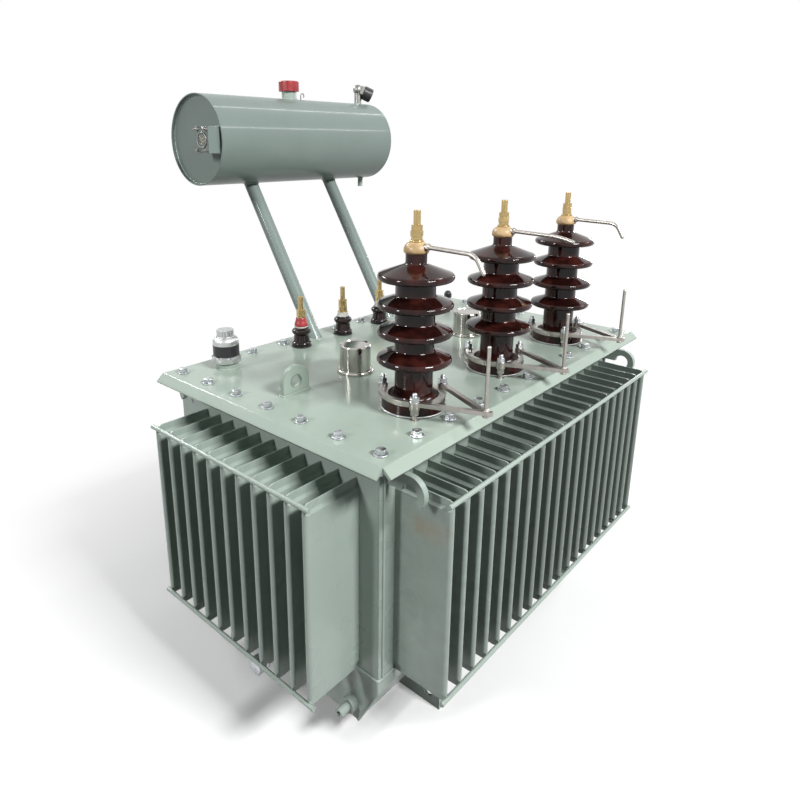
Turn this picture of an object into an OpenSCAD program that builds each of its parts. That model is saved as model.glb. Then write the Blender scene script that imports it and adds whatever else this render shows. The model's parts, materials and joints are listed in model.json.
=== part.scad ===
// Oil-filled power transformer with finned tank walls, bushings on its lid and an oil conservator.
// Millimetres, +Z up. The origin is on the ground, at the centre of the four skid bolt holes.
// +X runs along the long walls, and -Y is the high-voltage side, which is called the front.

/* [Tank] */
// Length of the tank over its flat end walls
tank_l = 952; // [880:1:1080]
// Width of the tank over its flat long walls
tank_w = 560; // [500:1:660]
// Thickness of the flat sheet between the fins
wall_t = 4; // [2:0.5:8]
// Height of the foot of the finned walls above the ground
wall_foot_z = 188; // [172:1:230]
// Height of the lid's upper face above the ground
lid_top_z = 667; // [640:1:760]
// Thickness of the folded trough plate
trough_t = 5; // [3:0.5:8]
// Height above the ground where the trough's sides start to slope inwards
trough_knee_z = 159; // [130:1:170]
// Width of the flat floor of the trough
floor_w = 456; // [400:1:480]

/* [Fins] */
// Distance from one fin to the next
fin_pitch = 45; // [38:1:60]
// Thickness of a fin
fin_t = 13; // [7:0.5:16]
// Reach of the long walls' fins from the flat sheet
long_fin_reach = 121; // [80:1:160]
// Reach of the end walls' fins from the flat sheet
end_fin_reach = 127; // [80:1:160]
// Height of a fin
fin_h = 408; // [340:1:420]
// Thickness of the pinched seam along a fin's upper and lower edges
seam_t = 3; // [2:0.5:5]
// Height of the pinched seam
seam_h = 14; // [10:1:25]
// Height over which a fin swells from its seam to its full thickness
swell_h = 5; // [4:1:20]
// Radius of a fin's outer corners
fin_corner_r = 13; // [6:1:20]
// Least flat width between a tank corner and the middle of the first fin
corner_flat = 48; // [40:1:60]
// Diameter of the tie rods along the fins' outer edges
rod_d = 9; // [8:1:16]
// How far a tie rod's middle lies inside the fins' outer edge
rod_inset = 0.5; // [0:0.5:4]
// Height of a tie rod's middle above or below the fins' edges
rod_rise = 5; // [5:0.5:9]
// How far a tie rod runs past the outermost fins
rod_overhang = 8; // [4:1:14]

/* [Lid] */
// Thickness of the lid plate
lid_t = 6; // [4:1:12]
// How far the lid's fold lies outside the tank walls
lid_overhang = 44; // [38:1:60]
// How far the sloping edge flaps reach outwards
flap_out = 18; // [10:1:30]
// How far the sloping edge flaps drop
flap_drop = 15; // [8:1:24]
// Thickness of the gasket under the lid
gasket_t = 4; // [2:0.5:8]
// Thickness of the tank's rim flange
rim_t = 8; // [5:1:12]
// How far the rim flange reaches outside the tank walls
rim_out = 30; // [20:1:36]
// How far the rim flange reaches inside the tank walls
rim_in = 20; // [10:1:40]

/* [Skids] */
// Height of the two skid channels
skid_h = 61; // [50:1:80]
// Width of a skid channel's flanges
skid_flange_w = 42; // [36:1:60]
// Thickness of a skid channel's web and flanges
skid_t = 6; // [4:0.5:8]
// Length of a skid channel
skid_l = 600; // [540:1:700]
// Distance over the outer faces of the two skids
skid_spread = 602; // [500:1:760]
// Spacing of the floor bolt holes along a skid
floor_bolt_y = 520; // [440:1:530]
// Diameter of the floor bolt holes
floor_bolt_d = 18; // [12:1:22]
// Diameter of the hauling holes in the webs
haul_hole_d = 24; // [16:1:30]

/* [Lifting gear] */
// Thickness of a lifting hook
hook_t = 12; // [8:1:18]
// Distance from the tank wall to the middle of a hook's bend
hook_reach = 52; // [45:1:70]
// Inner radius of a hook's bend
hook_r = 17; // [12:1:20]
// Width of the steel around a hook's bend
hook_band = 15; // [10:1:20]
// Height of the middle of a hook's bend above the ground
hook_z = 599; // [560:1:602]
// Angle by which a hook's tip turns in below its middle
hook_tip_angle = 45; // [20:1:60]
// Distance between the two lifting lugs on the lid
lug_spread = 796; // [700:1:830]
// Distance of the lifting lugs behind the middle of the lid
lug_y = 20; // [0:1:40]
// Width of a lifting lug
lug_w = 70; // [56:1:90]
// Height of a lifting lug
lug_h = 60; // [50:1:80]
// Thickness of a lifting lug
lug_t = 10; // [8:1:16]
// Diameter of the hole in a lifting lug
lug_hole_d = 29; // [20:1:32]

/* [High-voltage bushings] */
// Place of the middle high-voltage bushing along the tank
hv_mid_x = 13; // [-20:1:40]
// Spacing of the high-voltage bushings
hv_pitch = 304; // [260:1:330]
// Distance of the high-voltage bushings in front of the middle of the lid
hv_front = 205; // [180:1:212]
// Radius of the porcelain's foot
hv_foot_r = 62; // [56:1:66]
// Height of the porcelain's foot
hv_foot_h = 22; // [14:1:24]
// Radius of the porcelain's stem below the sheds
hv_stem_r = 37; // [30:1:40]
// Radius of the porcelain's core between the sheds
hv_core_r = 38; // [30:1:42]
// Radius of the sheds
shed_r = 72; // [65:1:85]
// Number of sheds
shed_count = 4; // [3:1:5]
// Spacing of the sheds
shed_pitch = 53; // [46:1:60]
// Height of the lowest shed's rim above the lid
shed_z = 99; // [90:1:110]
// Radius of a shed's rounded rim
shed_rim_r = 7; // [4:0.5:9]
// Slope of a shed's upper face
shed_slope = 20; // [14:1:24]
// Slope of a shed's lower face
shed_under_slope = 6; // [2:1:10]
// Radius of the neck above the sheds
hv_neck_r = 20; // [18:1:24]
// Height of the top of the neck above the uppermost shed's rim
hv_neck_h = 42; // [40:1:54]
// Radius of the cap on the neck
hv_cap_r = 24; // [22:1:30]
// Height of the cap on the neck
hv_cap_h = 22; // [20:1:30]
// Diameter of the terminal stud
hv_stud_d = 13; // [10:0.5:16]
// Length of bare stud above the nuts
hv_stud_h = 26; // [20:1:45]
// Width of the lower and the upper nut across their flats
hv_nut_w = 18; // [16:1:22]
// Width of the lock nut between them across its flats
hv_lock_w = 21; // [19:1:25]
// Height of the lower and the upper nut
hv_nut_h = 10; // [8:1:14]
// Height of the lock nut
hv_lock_h = 10; // [6:1:14]

/* [Bushing clamps and arcing horns] */
// Thickness of a clamp ring
clamp_t = 6; // [5:1:12]
// Inner radius of a clamp ring
clamp_in_r = 50; // [48:1:56]
// Outer radius of a clamp ring
clamp_out_r = 61; // [59:1:72]
// Radius of a clamp ring's ears
ear_r = 10; // [9:1:15]
// Angle by which the clamps' ears are turned against the horns, which point along -Y
clamp_turn = 10; // [0:1:30]
// Distance of the ears' middles from the bushing's axis
ear_place_r = 68; // [66:1:80]
// Width of the flat horn bars
horn_bar_w = 9; // [7:1:15]
// Thickness of the flat horn bars
horn_bar_t = 8; // [4:0.5:9]
// Distance of the horns' rods in front of the bushing's axis
horn_reach = 163; // [140:1:175]
// How far the left bar runs past the lower horn's rod
horn_bar_over = 8; // [0:1:12]
// Diameter of the horn rods
horn_d = 7; // [5:0.5:10]
// Height of the lower horn's tip above the lid
horn_low_z = 155; // [120:1:170]
// Height of the upper horn's root above the foot of the cap
horn_root_rise = 14; // [10:1:14]
// Distance of the upper horn's bend in front of the bushing's axis
horn_bend_reach = 126; // [100:1:140]
// Drop of the upper horn's bend below its root
horn_bend_drop = 3; // [0:1:12]
// Length of the upper horn's tip beyond its bend
horn_tip_l = 39; // [25:1:50]
// Angle of the outer bushings' horn tips below level
horn_tip_angle = 60; // [30:1:75]
// Angle of the middle bushing's horn tip below level
mid_tip_angle = 13; // [10:1:75]
// Radius of the collar that holds the upper horn
horn_collar_r = 5.5; // [5:0.5:6.5]

/* [Low-voltage bushings] */
// Number of low-voltage bushings
lv_count = 4; // [3:1:4]
// Place of the middle of the row of low-voltage bushings along the tank
row_mid_x = 50; // [0:1:70]
// Spacing of the low-voltage bushings
lv_pitch = 150; // [120:1:160]
// Distance of the low-voltage bushings behind the middle of the lid
lv_back = 245; // [220:1:248]
// Radius of the low-voltage porcelain's foot
lv_foot_r = 24.5; // [21:0.5:29]
// Height of the low-voltage porcelain's foot
lv_foot_h = 14; // [8:1:18]
// Height of the low-voltage porcelain
lv_h = 50; // [46:1:60]
// Radius of the low-voltage porcelain's waist
lv_waist_r = 18.5; // [16:0.5:21]
// Radius of the low-voltage porcelain's shoulder
lv_shoulder_r = 24; // [20:0.5:27]
// Radius of the sealing washer
lv_washer_r = 16; // [13:0.5:18]
// Height of the sealing washer
lv_washer_h = 11; // [6:1:14]
// Width of the low-voltage nuts across their flats
lv_nut_w = 20; // [17:1:23]
// Height of the low-voltage nuts together
lv_nut_h = 34; // [24:1:42]
// Diameter of the low-voltage stud
lv_stud_d = 12; // [9:0.5:14]
// Length of bare low-voltage stud above the nuts
lv_stud_h = 33; // [20:1:45]

/* [Lid fittings] */
// Place of the left tap-changer cap along the tank
tap_left_x = -221; // [-240:1:-180]
// Distance of the left tap-changer cap behind the middle of the lid
tap_left_y = 15; // [0:1:30]
// Place of the right tap-changer cap along the tank
tap_right_x = 194; // [150:1:230]
// Distance of the right tap-changer cap in front of the middle of the lid
tap_right_front = 5; // [0:1:20]
// Radius of a tap-changer cap
tap_cap_r = 35; // [28:1:40]
// Height of a tap-changer cap
tap_cap_h = 65; // [54:1:90]
// Radius of a tap-changer cap's foot ring
tap_foot_r = 41; // [36:1:48]
// Distance of the pressure relief valve from the outer face of the left wall
relief_inset_x = 79; // [60:1:120]
// Distance of the pressure relief valve from the outer face of the rear wall
relief_inset_y = 25; // [20:1:60]
// Radius of the relief valve's drum
relief_r = 29; // [27:1:36]
// Height of the relief valve below its adjusting cap
relief_h = 72; // [66:1:90]
// Height of the relief valve's neck
relief_neck_h = 15; // [10:1:20]
// Thickness of the relief valve's flange
relief_flange_t = 11; // [6:1:14]
// Radius of the relief valve's adjusting cap
relief_cap_r = 19; // [16:1:24]
// Height of the relief valve's adjusting cap
relief_cap_h = 17; // [12:1:24]
// Number of grips around the adjusting cap
relief_grips = 20; // [12:1:28]
// Distance of the thermometer pocket from the outer face of the right wall
pocket_inset_x = 26; // [22:1:80]
// Distance of the thermometer pocket from the outer face of the rear wall
pocket_inset_y = 44; // [36:1:80]
// Radius of the thermometer pocket's boss
pocket_r = 14; // [10:1:18]
// Height of the thermometer pocket's boss
pocket_h = 20; // [14:1:30]
// Height of the thermometer pocket's dome cap
pocket_cap_h = 22; // [16:1:28]

/* [Conservator] */
// Outer radius of the conservator
cons_r = 111.5; // [95:0.5:130]
// Length of the conservator
cons_l = 624; // [560:1:700]
// Thickness of the conservator's shell and end plates
cons_t = 3; // [2:0.5:6]
// Place of the conservator's middle along the tank
cons_mid_x = 42; // [0:1:70]
// Distance of the conservator's axis behind the middle of the tank
cons_back = 512; // [440:1:560]
// Height of the conservator's axis above the lid
cons_rise = 503; // [420:1:580]
// How far the end plates lie inside the rims
cons_recess = 9; // [4:1:20]
// Diameter of the two support tubes
support_d = 36; // [28:1:44]
// Distance between the two support tubes
support_spread = 295; // [240:1:360]
// Distance of the support tubes' feet behind the middle of the lid
support_foot_y = 270; // [255:1:285]
// Diameter of the filler neck
neck_d = 41; // [36:1:50]
// Height of the filler neck above the conservator
neck_h = 38; // [32:1:56]
// Radius of the filler cap
fill_cap_r = 28; // [26:1:36]
// Height of the filler cap
fill_cap_h = 27; // [24:1:38]
// How far the filler cap's skirt covers the neck
fill_skirt_h = 18; // [10:1:22]
// Number of grip flutes around the filler cap
fill_flutes = 10; // [6:1:14]
// Distance of the breather from the conservator's right end
breather_inset = 30; // [26:1:60]
// Diameter of the breather's neck
breather_d = 22; // [16:1:26]
// Height of the breather's neck above the conservator
breather_h = 41; // [36:1:50]
// Length of the breather's outlet from its elbow to its cap
breather_outlet_l = 18; // [16:1:26]
// Diameter of the breather's cap
breather_cap_d = 41; // [34:1:44]
// Length of the breather's cap
breather_cap_l = 28; // [20:1:32]
// Angle by which the breather's outlet leans over from upright
breather_tilt = 114; // [90:1:118]
// Angle by which the breather's outlet turns towards the front
breather_turn = 40; // [0:1:60]
// Distance of the drain stub from the conservator's right end
cons_drain_inset = 20; // [14:1:60]
// Diameter of the conservator's drain stub
cons_drain_d = 16; // [12:1:20]
// Length of the conservator's drain stub
cons_drain_l = 27; // [18:1:40]
// Width of the level gauge
gauge_w = 48; // [40:1:56]
// Height of the level gauge
gauge_h = 62; // [52:1:72]
// Depth of the level gauge
gauge_d = 41; // [32:1:50]
// Distance of the level gauge's middle in front of the conservator's axis
gauge_front = 76; // [70:1:78]
// Radius of the level gauge's window
gauge_window_r = 15; // [12:1:18]

/* [Tank drains] */
// Distance of the drain spout in front of the tank's middle
spout_front = 212; // [190:1:220]
// Height of the drain spout above the ground
spout_z = 95; // [88:1:110]
// Outer diameter of the drain spout
spout_d = 18; // [14:1:24]
// Length of the drain spout
spout_l = 38; // [26:1:50]
// Diameter of the drain spout's collar
spout_collar_d = 32; // [26:1:36]
// Length of the drain spout's collar
spout_collar_l = 14; // [8:1:20]
// Length of the capped oil stub in the middle of the end
stub_l = 76; // [50:1:90]
// Diameter of the capped oil stub
stub_d = 26; // [20:1:32]

/* [Hidden] */
$fn = 64;
// Gap left between parts that seat in each other
seat_gap = 0.2;
// How far a cutting or joining shape runs past the face that it meets
lap = 1;
// Turn of a lock nut against the nut below it
lock_turn = 20;
// Radius of the small rounded edges of porcelain
glaze_r = 4;
// Radius of the fillets between the sheds and the core
shed_fillet_r = 6;
// Radius of the fillet between a high-voltage bushing's foot and its stem
stem_fillet_r = 10;
// Number of ears on a clamp ring
ear_count = 3;
// Radius of the rounded edges of the bright caps on the lid
cap_edge_r = 4;
// Depth of the seat of an upper horn's collar in its cap
horn_seat = 6;
// Diameter of the knuckle at an upper horn's bend, wide enough to hold the ends of both runs
horn_knuckle_d = 1.18 * horn_d;

// Numbers of fins on a long wall and on an end wall, and the place of the outermost fin
long_fins = floor((tank_l - 2 * corner_flat) / fin_pitch) + 1;
end_fins = floor((tank_w - 2 * corner_flat) / fin_pitch) + 1;
first_fin_x = (long_fins - 1) * fin_pitch / 2;

// Heights above the ground
rim_z = lid_top_z - lid_t - gasket_t;
wall_top_z = rim_z - rim_t;
fin_top_z = wall_foot_z + fin_h;
cons_z = lid_top_z + cons_rise;

// Sizes of the lid inside its folds, and the hooks' place between the corner and the first fin
lid_l = tank_l + 2 * lid_overhang;
lid_w = tank_w + 2 * lid_overhang;
hook_x = (tank_l / 2 + first_fin_x + fin_t / 2) / 2;
hook_outer_r = hook_r + hook_band;

// Heights above the lid
top_shed_z = shed_z + (shed_count - 1) * shed_pitch;
hv_cap_z = top_shed_z + hv_neck_h;
hv_nut_z = hv_cap_z + hv_cap_h;
clamp_top_z = hv_foot_h + clamp_t;
horn_root_z = hv_cap_z + horn_root_rise;
lv_nut_z = lv_h + lv_washer_h;

PAINT = [0.60, 0.66, 0.62];
LID_PAINT = [0.64, 0.72, 0.65];
PORCELAIN = [0.20, 0.06, 0.05];
BRASS = [0.72, 0.55, 0.25];
STEEL = [0.72, 0.72, 0.70];
BLACK = [0.07, 0.07, 0.07];
TAN = [0.80, 0.60, 0.38];
RED = [0.62, 0.12, 0.12];

// Points along an arc about c, from angle a0 to a1
function arc(c, r, a0, a1, n = 8) = [
  for (i = [0 : n]) c + r * [cos(a0 + (a1 - a0) * i / n), sin(a0 + (a1 - a0) * i / n)]
];

module both_x() {
  children();
  mirror([1, 0, 0]) children();
}

module both_y() {
  children();
  mirror([0, 1, 0]) children();
}

// A rod of diameter d from point a to point b, both in the plane of Y and Z
module yz_rod(a, b, d) {
  run = b - a;
  translate([0, a.y, a.z])
    rotate([-atan2(run.y, run.z), 0, 0])
      cylinder(d = d, h = norm(run));
}

// Skids

module skid() {
  translate([-skid_spread / 2, -skid_l / 2, 0])
    difference() {
      cube([skid_flange_w, skid_l, skid_h]);
      translate([skid_t, -lap, skid_t])
        cube([skid_flange_w, skid_l + 2 * lap, skid_h - 2 * skid_t]);
      for (y = [-1, 1])
        translate([(skid_flange_w + skid_t) / 2, skid_l / 2 + y * floor_bolt_y / 2, -lap])
          cylinder(d = floor_bolt_d, h = skid_t + 2 * lap);
      for (y = [skid_h / 2, skid_l - skid_h / 2])
        translate([-lap, y, skid_h / 2])
          rotate([0, 90, 0])
            cylinder(d = haul_hole_d, h = skid_t + 2 * lap);
    }
}

module left_skid() {
  color(PAINT) skid();
}

module right_skid() {
  color(PAINT) mirror([1, 0, 0]) skid();
}

// Tank trough, folded from one plate and closed by two end plates

// Outline of the trough, drawn in by a plate's thickness and raised at its open top
module trough_outline(inset, raise) {
  slope = atan2(trough_knee_z - skid_h, (tank_w - floor_w) / 2);
  half_top = tank_w / 2 - inset;
  half_floor = floor_w / 2 - inset * tan(slope / 2);
  knee_z = trough_knee_z + inset * tan(45 - slope / 2);
  top_z = wall_foot_z + raise;
  polygon([
    [-half_floor, skid_h + inset], [half_floor, skid_h + inset], [half_top, knee_z],
    [half_top, top_z], [-half_top, top_z], [-half_top, knee_z]
  ]);
}

module tank_trough() {
  color(PAINT)
    translate([-tank_l / 2 + trough_t, 0, 0])
      rotate([90, 0, 90])
        linear_extrude(tank_l - 2 * trough_t)
          difference() {
            trough_outline(0, 0);
            trough_outline(trough_t, lap);
          }
}

module trough_end_plates() {
  color(PAINT)
    both_x()
      translate([tank_l / 2 - trough_t, 0, 0])
        rotate([90, 0, 90])
          linear_extrude(trough_t)
            trough_outline(0, 0);
}

// Finned walls: each fin is a flat fold with a round nose, pinched along its upper and lower edges

module fin_plan(reach) {
  translate([-fin_t / 2, -lap])
    square([fin_t, reach - fin_t / 2 + lap]);
  translate([0, reach - fin_t / 2])
    circle(d = fin_t);
}

module fin_side(reach) {
  difference() {
    translate([-lap, 0])
      square([reach + lap, fin_h]);
    for (top = [0, 1])
      translate([reach, top * fin_h])
        mirror([0, top])
          fin_corner_cut();
  }
}

module fin_corner_cut() {
  translate([-fin_corner_r, 0])
    difference() {
      translate([0, -lap])
        square([fin_corner_r + lap, fin_corner_r + lap]);
      translate([0, fin_corner_r])
        circle(r = fin_corner_r);
    }
}

module fin_section() {
  full_z = seam_h + swell_h;
  polygon([
    [-seam_t / 2, 0], [seam_t / 2, 0], [seam_t / 2, seam_h], [fin_t / 2, full_z],
    [fin_t / 2, fin_h - full_z], [seam_t / 2, fin_h - seam_h], [seam_t / 2, fin_h],
    [-seam_t / 2, fin_h], [-seam_t / 2, fin_h - seam_h], [-fin_t / 2, fin_h - full_z],
    [-fin_t / 2, full_z], [-seam_t / 2, seam_h]
  ]);
}

module fin(reach) {
  intersection() {
    linear_extrude(fin_h)
      fin_plan(reach);
    translate([-fin_t, 0, 0])
      rotate([90, 0, 90])
        linear_extrude(2 * fin_t)
          fin_side(reach);
    translate([0, reach + 2 * lap, 0])
      rotate([90, 0, 0])
        linear_extrude(reach + 4 * lap)
          fin_section();
  }
}

// A pair of tie rods along a row of fins whose flat sheet lies at Y = 0
module tie_rods(count, reach, grow) {
  length = (count - 1) * fin_pitch + fin_t + 2 * rod_overhang;
  for (z = [wall_foot_z + rod_rise, fin_top_z - rod_rise])
    translate([-length / 2, reach - rod_inset, z])
      rotate([0, 90, 0])
        cylinder(d = rod_d + 2 * grow, h = length);
}

// A finned wall whose flat sheet has its outer face at Y = 0
module finned_wall(length, count, reach) {
  difference() {
    union() {
      translate([-length / 2, -wall_t, wall_foot_z])
        cube([length, wall_t, wall_top_z - wall_foot_z]);
      for (i = [0 : count - 1])
        translate([(i - (count - 1) / 2) * fin_pitch, 0, wall_foot_z])
          fin(reach);
    }
    tie_rods(count, reach, seat_gap);
  }
}

module on_rear() {
  translate([0, tank_w / 2, 0]) children();
}

module on_front() {
  rotate(180) on_rear() children();
}

module on_left() {
  rotate(90) translate([0, tank_l / 2, 0]) children();
}

module on_right() {
  rotate(-90) translate([0, tank_l / 2, 0]) children();
}

module front_corrugated_wall() {
  color(PAINT) on_front() finned_wall(tank_l, long_fins, long_fin_reach);
}

module rear_corrugated_wall() {
  color(PAINT) on_rear() finned_wall(tank_l, long_fins, long_fin_reach);
}

module left_corrugated_wall() {
  color(PAINT) on_left() finned_wall(tank_w - 2 * wall_t, end_fins, end_fin_reach);
}

module right_corrugated_wall() {
  color(PAINT) on_right() finned_wall(tank_w - 2 * wall_t, end_fins, end_fin_reach);
}

module front_tie_rods() {
  color(PAINT) on_front() tie_rods(long_fins, long_fin_reach, 0);
}

module rear_tie_rods() {
  color(PAINT) on_rear() tie_rods(long_fins, long_fin_reach, 0);
}

module left_tie_rods() {
  color(PAINT) on_left() tie_rods(end_fins, end_fin_reach, 0);
}

module right_tie_rods() {
  color(PAINT) on_right() tie_rods(end_fins, end_fin_reach, 0);
}

// Rim, gasket and lid

module rim_frame(thickness) {
  linear_extrude(thickness)
    difference() {
      square([tank_l + 2 * rim_out, tank_w + 2 * rim_out], center = true);
      square([tank_l - 2 * rim_in, tank_w - 2 * rim_in], center = true);
    }
}

module tank_rim() {
  color(PAINT) translate([0, 0, wall_top_z]) rim_frame(rim_t);
}

module lid_gasket() {
  color(BLACK) translate([0, 0, rim_z]) rim_frame(gasket_t);
}

// A sloping edge flap along X, of even thickness, whose fold lies at Y = 0 and Z = 0
module flap(length) {
  slope = atan2(flap_drop, flap_out);
  edge = [flap_out, -flap_drop];
  translate([-length / 2, 0, 0])
    rotate([90, 0, 90])
      linear_extrude(length)
        polygon([
          [-lid_t, 0], [0, 0], edge, edge - lid_t * [sin(slope), cos(slope)],
          [-lid_t * tan(slope / 2), -lid_t], [-lid_t, -lid_t]
        ]);
}

module lid() {
  color(LID_PAINT)
    translate([0, 0, lid_top_z]) {
      translate([-lid_l / 2, -lid_w / 2, -lid_t])
        cube([lid_l, lid_w, lid_t]);
      both_y()
        translate([0, lid_w / 2, 0])
          flap(lid_l);
      both_x()
        rotate(-90)
          translate([0, lid_l / 2, 0])
            flap(lid_w);
    }
}

// Lifting hooks and lugs

module hook_profile() {
  far = 2 * hook_outer_r;
  difference() {
    union() {
      square([hook_reach, hook_outer_r]);
      translate([hook_reach, 0])
        circle(r = hook_outer_r);
    }
    translate([hook_reach, 0]) {
      circle(r = hook_r);
      polygon([
        [0, 0], [-far, 0], [-far, -far], [0, -far], far * [cos(hook_tip_angle), -sin(hook_tip_angle)]
      ]);
    }
  }
}

module lifting_hooks() {
  both_x()
    translate([hook_x - hook_t / 2, tank_w / 2, hook_z])
      rotate([90, 0, 90])
        linear_extrude(hook_t)
          hook_profile();
}

module front_lifting_hooks() {
  color(PAINT) mirror([0, 1, 0]) lifting_hooks();
}

module rear_lifting_hooks() {
  color(PAINT) lifting_hooks();
}

module lid_lifting_lugs() {
  crown_z = lug_h - lug_w / 2;
  color(LID_PAINT)
    both_x()
      translate([lug_spread / 2, lug_y + lug_t / 2, lid_top_z])
        rotate([90, 0, 0])
          linear_extrude(lug_t)
            difference() {
              union() {
                translate([-lug_w / 2, 0])
                  square([lug_w, crown_z]);
                translate([0, crown_z])
                  intersection() {
                    circle(d = lug_w);
                    translate([-lug_w / 2, 0])
                      square([lug_w, lug_w]);
                  }
              }
              translate([0, crown_z])
                circle(d = lug_hole_d);
            }
}

// High-voltage bushings

module at_hv(i) {
  translate([hv_mid_x + (i - 1) * hv_pitch, -hv_front, lid_top_z]) children();
}

// Angles of a clamp's ears before its turn, the first at the rear, and their places in plan
function ear_angle(k) = 90 + k * 360 / ear_count;
function ear_place(k) =
  ear_place_r * [cos(ear_angle(k) + clamp_turn), sin(ear_angle(k) + clamp_turn)];

// Outline of one shed, from the core of radius r0 below it to the core of radius r1 above it
function shed_outline(z, r0, r1) =
  let (
    rim = [shed_r - shed_rim_r, z],
    reach = shed_rim_r + shed_fillet_r,
    under_x = r0 + shed_fillet_r,
    under_drop = (reach + sin(shed_under_slope) * (under_x - rim.x)) / cos(shed_under_slope),
    over_x = r1 + shed_fillet_r,
    over_rise = (reach - sin(shed_slope) * (over_x - rim.x)) / cos(shed_slope)
  )
  concat(
    arc([under_x, z - under_drop], shed_fillet_r, 180, 90 - shed_under_slope),
    arc(rim, shed_rim_r, -90 - shed_under_slope, 90 - shed_slope, 16),
    arc([over_x, z + over_rise], shed_fillet_r, 270 - shed_slope, 180)
  );

// Outline of the foot, with the fillet up to the stem
function hv_foot_outline() = concat(
  [[0, 0]],
  arc([hv_foot_r - glaze_r, glaze_r], glaze_r, -90, 0),
  [[hv_foot_r, hv_foot_h]],
  arc([hv_stem_r + stem_fillet_r, hv_foot_h + stem_fillet_r], stem_fillet_r, 270, 180)
);

function hv_outline() = concat(
  hv_foot_outline(),
  [
    for (i = [0 : shed_count - 1])
      each shed_outline(
        shed_z + i * shed_pitch,
        i == 0 ? hv_stem_r : hv_core_r,
        i == shed_count - 1 ? hv_neck_r : hv_core_r
      )
  ],
  [[hv_neck_r, hv_cap_z], [0, hv_cap_z]]
);

module hv_porcelain(i) {
  color(PORCELAIN)
    at_hv(i)
      rotate_extrude()
        polygon(hv_outline());
}

module hv_porcelain_left() {
  hv_porcelain(0);
}

module hv_porcelain_middle() {
  hv_porcelain(1);
}

module hv_porcelain_right() {
  hv_porcelain(2);
}

module hv_clamp(i) {
  color(STEEL)
    at_hv(i)
      translate([0, 0, hv_foot_h])
        linear_extrude(clamp_t)
          difference() {
            union() {
              circle(r = clamp_out_r);
              for (k = [0 : ear_count - 1])
                translate(ear_place(k))
                  circle(r = ear_r);
            }
            circle(r = clamp_in_r);
          }
}

module hv_clamp_left() {
  hv_clamp(0);
}

module hv_clamp_middle() {
  hv_clamp(1);
}

module hv_clamp_right() {
  hv_clamp(2);
}

// A bell-shaped cap with its belly low down, bored at its front for the upper horn's collar
module hv_cap() {
  belly_r = 0.27 * hv_cap_h;
  dome_r = 0.7 * hv_cap_r;
  crown_r = hv_lock_w / 2 + lap;
  difference() {
    translate([0, 0, hv_cap_z])
      rotate_extrude()
        polygon(concat(
          [[0, 0], [hv_neck_r, 0]],
          arc([hv_cap_r - belly_r, belly_r], belly_r, -60, 0),
          arc([hv_cap_r - dome_r, belly_r], dome_r, 0, 60),
          [[crown_r, hv_cap_h], [0, hv_cap_h]]
        ));
    yz_rod([0, -hv_cap_r + horn_seat, horn_root_z], [0, -hv_cap_r - lap, horn_root_z], 2 * horn_collar_r);
  }
}

module hv_caps() {
  color(TAN) for (i = [0 : 2]) at_hv(i) hv_cap();
}

module hex_nut(w, h) {
  cylinder(d = w / cos(30), h = h, $fn = 6);
}

module hv_terminals() {
  color(BRASS)
    for (i = [0 : 2])
      at_hv(i)
        translate([0, 0, hv_nut_z]) {
          for (z = [0, hv_nut_h + hv_lock_h])
            translate([0, 0, z])
              hex_nut(hv_nut_w, hv_nut_h);
          translate([0, 0, hv_nut_h])
            rotate(lock_turn)
              hex_nut(hv_lock_w, hv_lock_h);
          cylinder(d = hv_stud_d, h = 2 * hv_nut_h + hv_lock_h + hv_stud_h);
        }
}

// The horn's rod is pressed into a knuckle where it bends
module hv_upper_horns() {
  collar_start = [0, -hv_cap_r + horn_seat, horn_root_z];
  collar_end = [0, -hv_cap_r - horn_collar_r, horn_root_z];
  bend = [0, -horn_bend_reach, horn_root_z - horn_bend_drop];
  color(STEEL)
    for (i = [0 : 2]) {
      fall = i == 1 ? mid_tip_angle : horn_tip_angle;
      at_hv(i) {
        yz_rod(collar_start, collar_end, 2 * horn_collar_r);
        yz_rod(collar_start, bend, horn_d);
        translate(bend)
          sphere(d = horn_knuckle_d);
        yz_rod(bend, bend - horn_tip_l * [0, cos(fall), sin(fall)], horn_d);
      }
    }
}

// A flat bar from a clamp's ear to the foot of the lower horn's rod, or some way past it
module horn_bar(ear, past) {
  run = [0, -horn_reach] - ear;
  length = norm(run) + past;
  translate(ear) {
    circle(r = ear_r);
    rotate(atan2(run.y, run.x)) {
      translate([0, -horn_bar_w / 2])
        square([length, horn_bar_w]);
      translate([length, 0])
        circle(d = horn_bar_w);
    }
  }
}

// The bent end of the left bar, which follows the clamp from the rear ear to the left one
module horn_strap() {
  far = 2 * ear_place_r;
  rotate(clamp_turn)
    difference() {
      circle(r = ear_place_r);
      circle(r = ear_place_r - horn_bar_w);
      polygon([
        [0, 0],
        far * [cos(ear_angle(0)), sin(ear_angle(0))],
        far * [1, 1],
        far * [1, -1],
        far * [-1, -1],
        far * [cos(ear_angle(1)), sin(ear_angle(1))]
      ]);
    }
  translate(ear_place(0))
    circle(r = ear_r);
}

module hv_lower_horns() {
  color(STEEL)
    for (i = [0 : 2])
      at_hv(i)
        translate([0, 0, clamp_top_z]) {
          linear_extrude(horn_bar_t) {
            horn_strap();
            horn_bar(ear_place(1), horn_bar_over);
            horn_bar(ear_place(2), 0);
          }
          translate([0, -horn_reach, 0])
            cylinder(d = horn_d, h = horn_low_z - clamp_top_z);
        }
}

// Low-voltage bushings

module at_lv(i) {
  translate([row_mid_x + (i - (lv_count - 1) / 2) * lv_pitch, lv_back, lid_top_z]) children();
}

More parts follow.
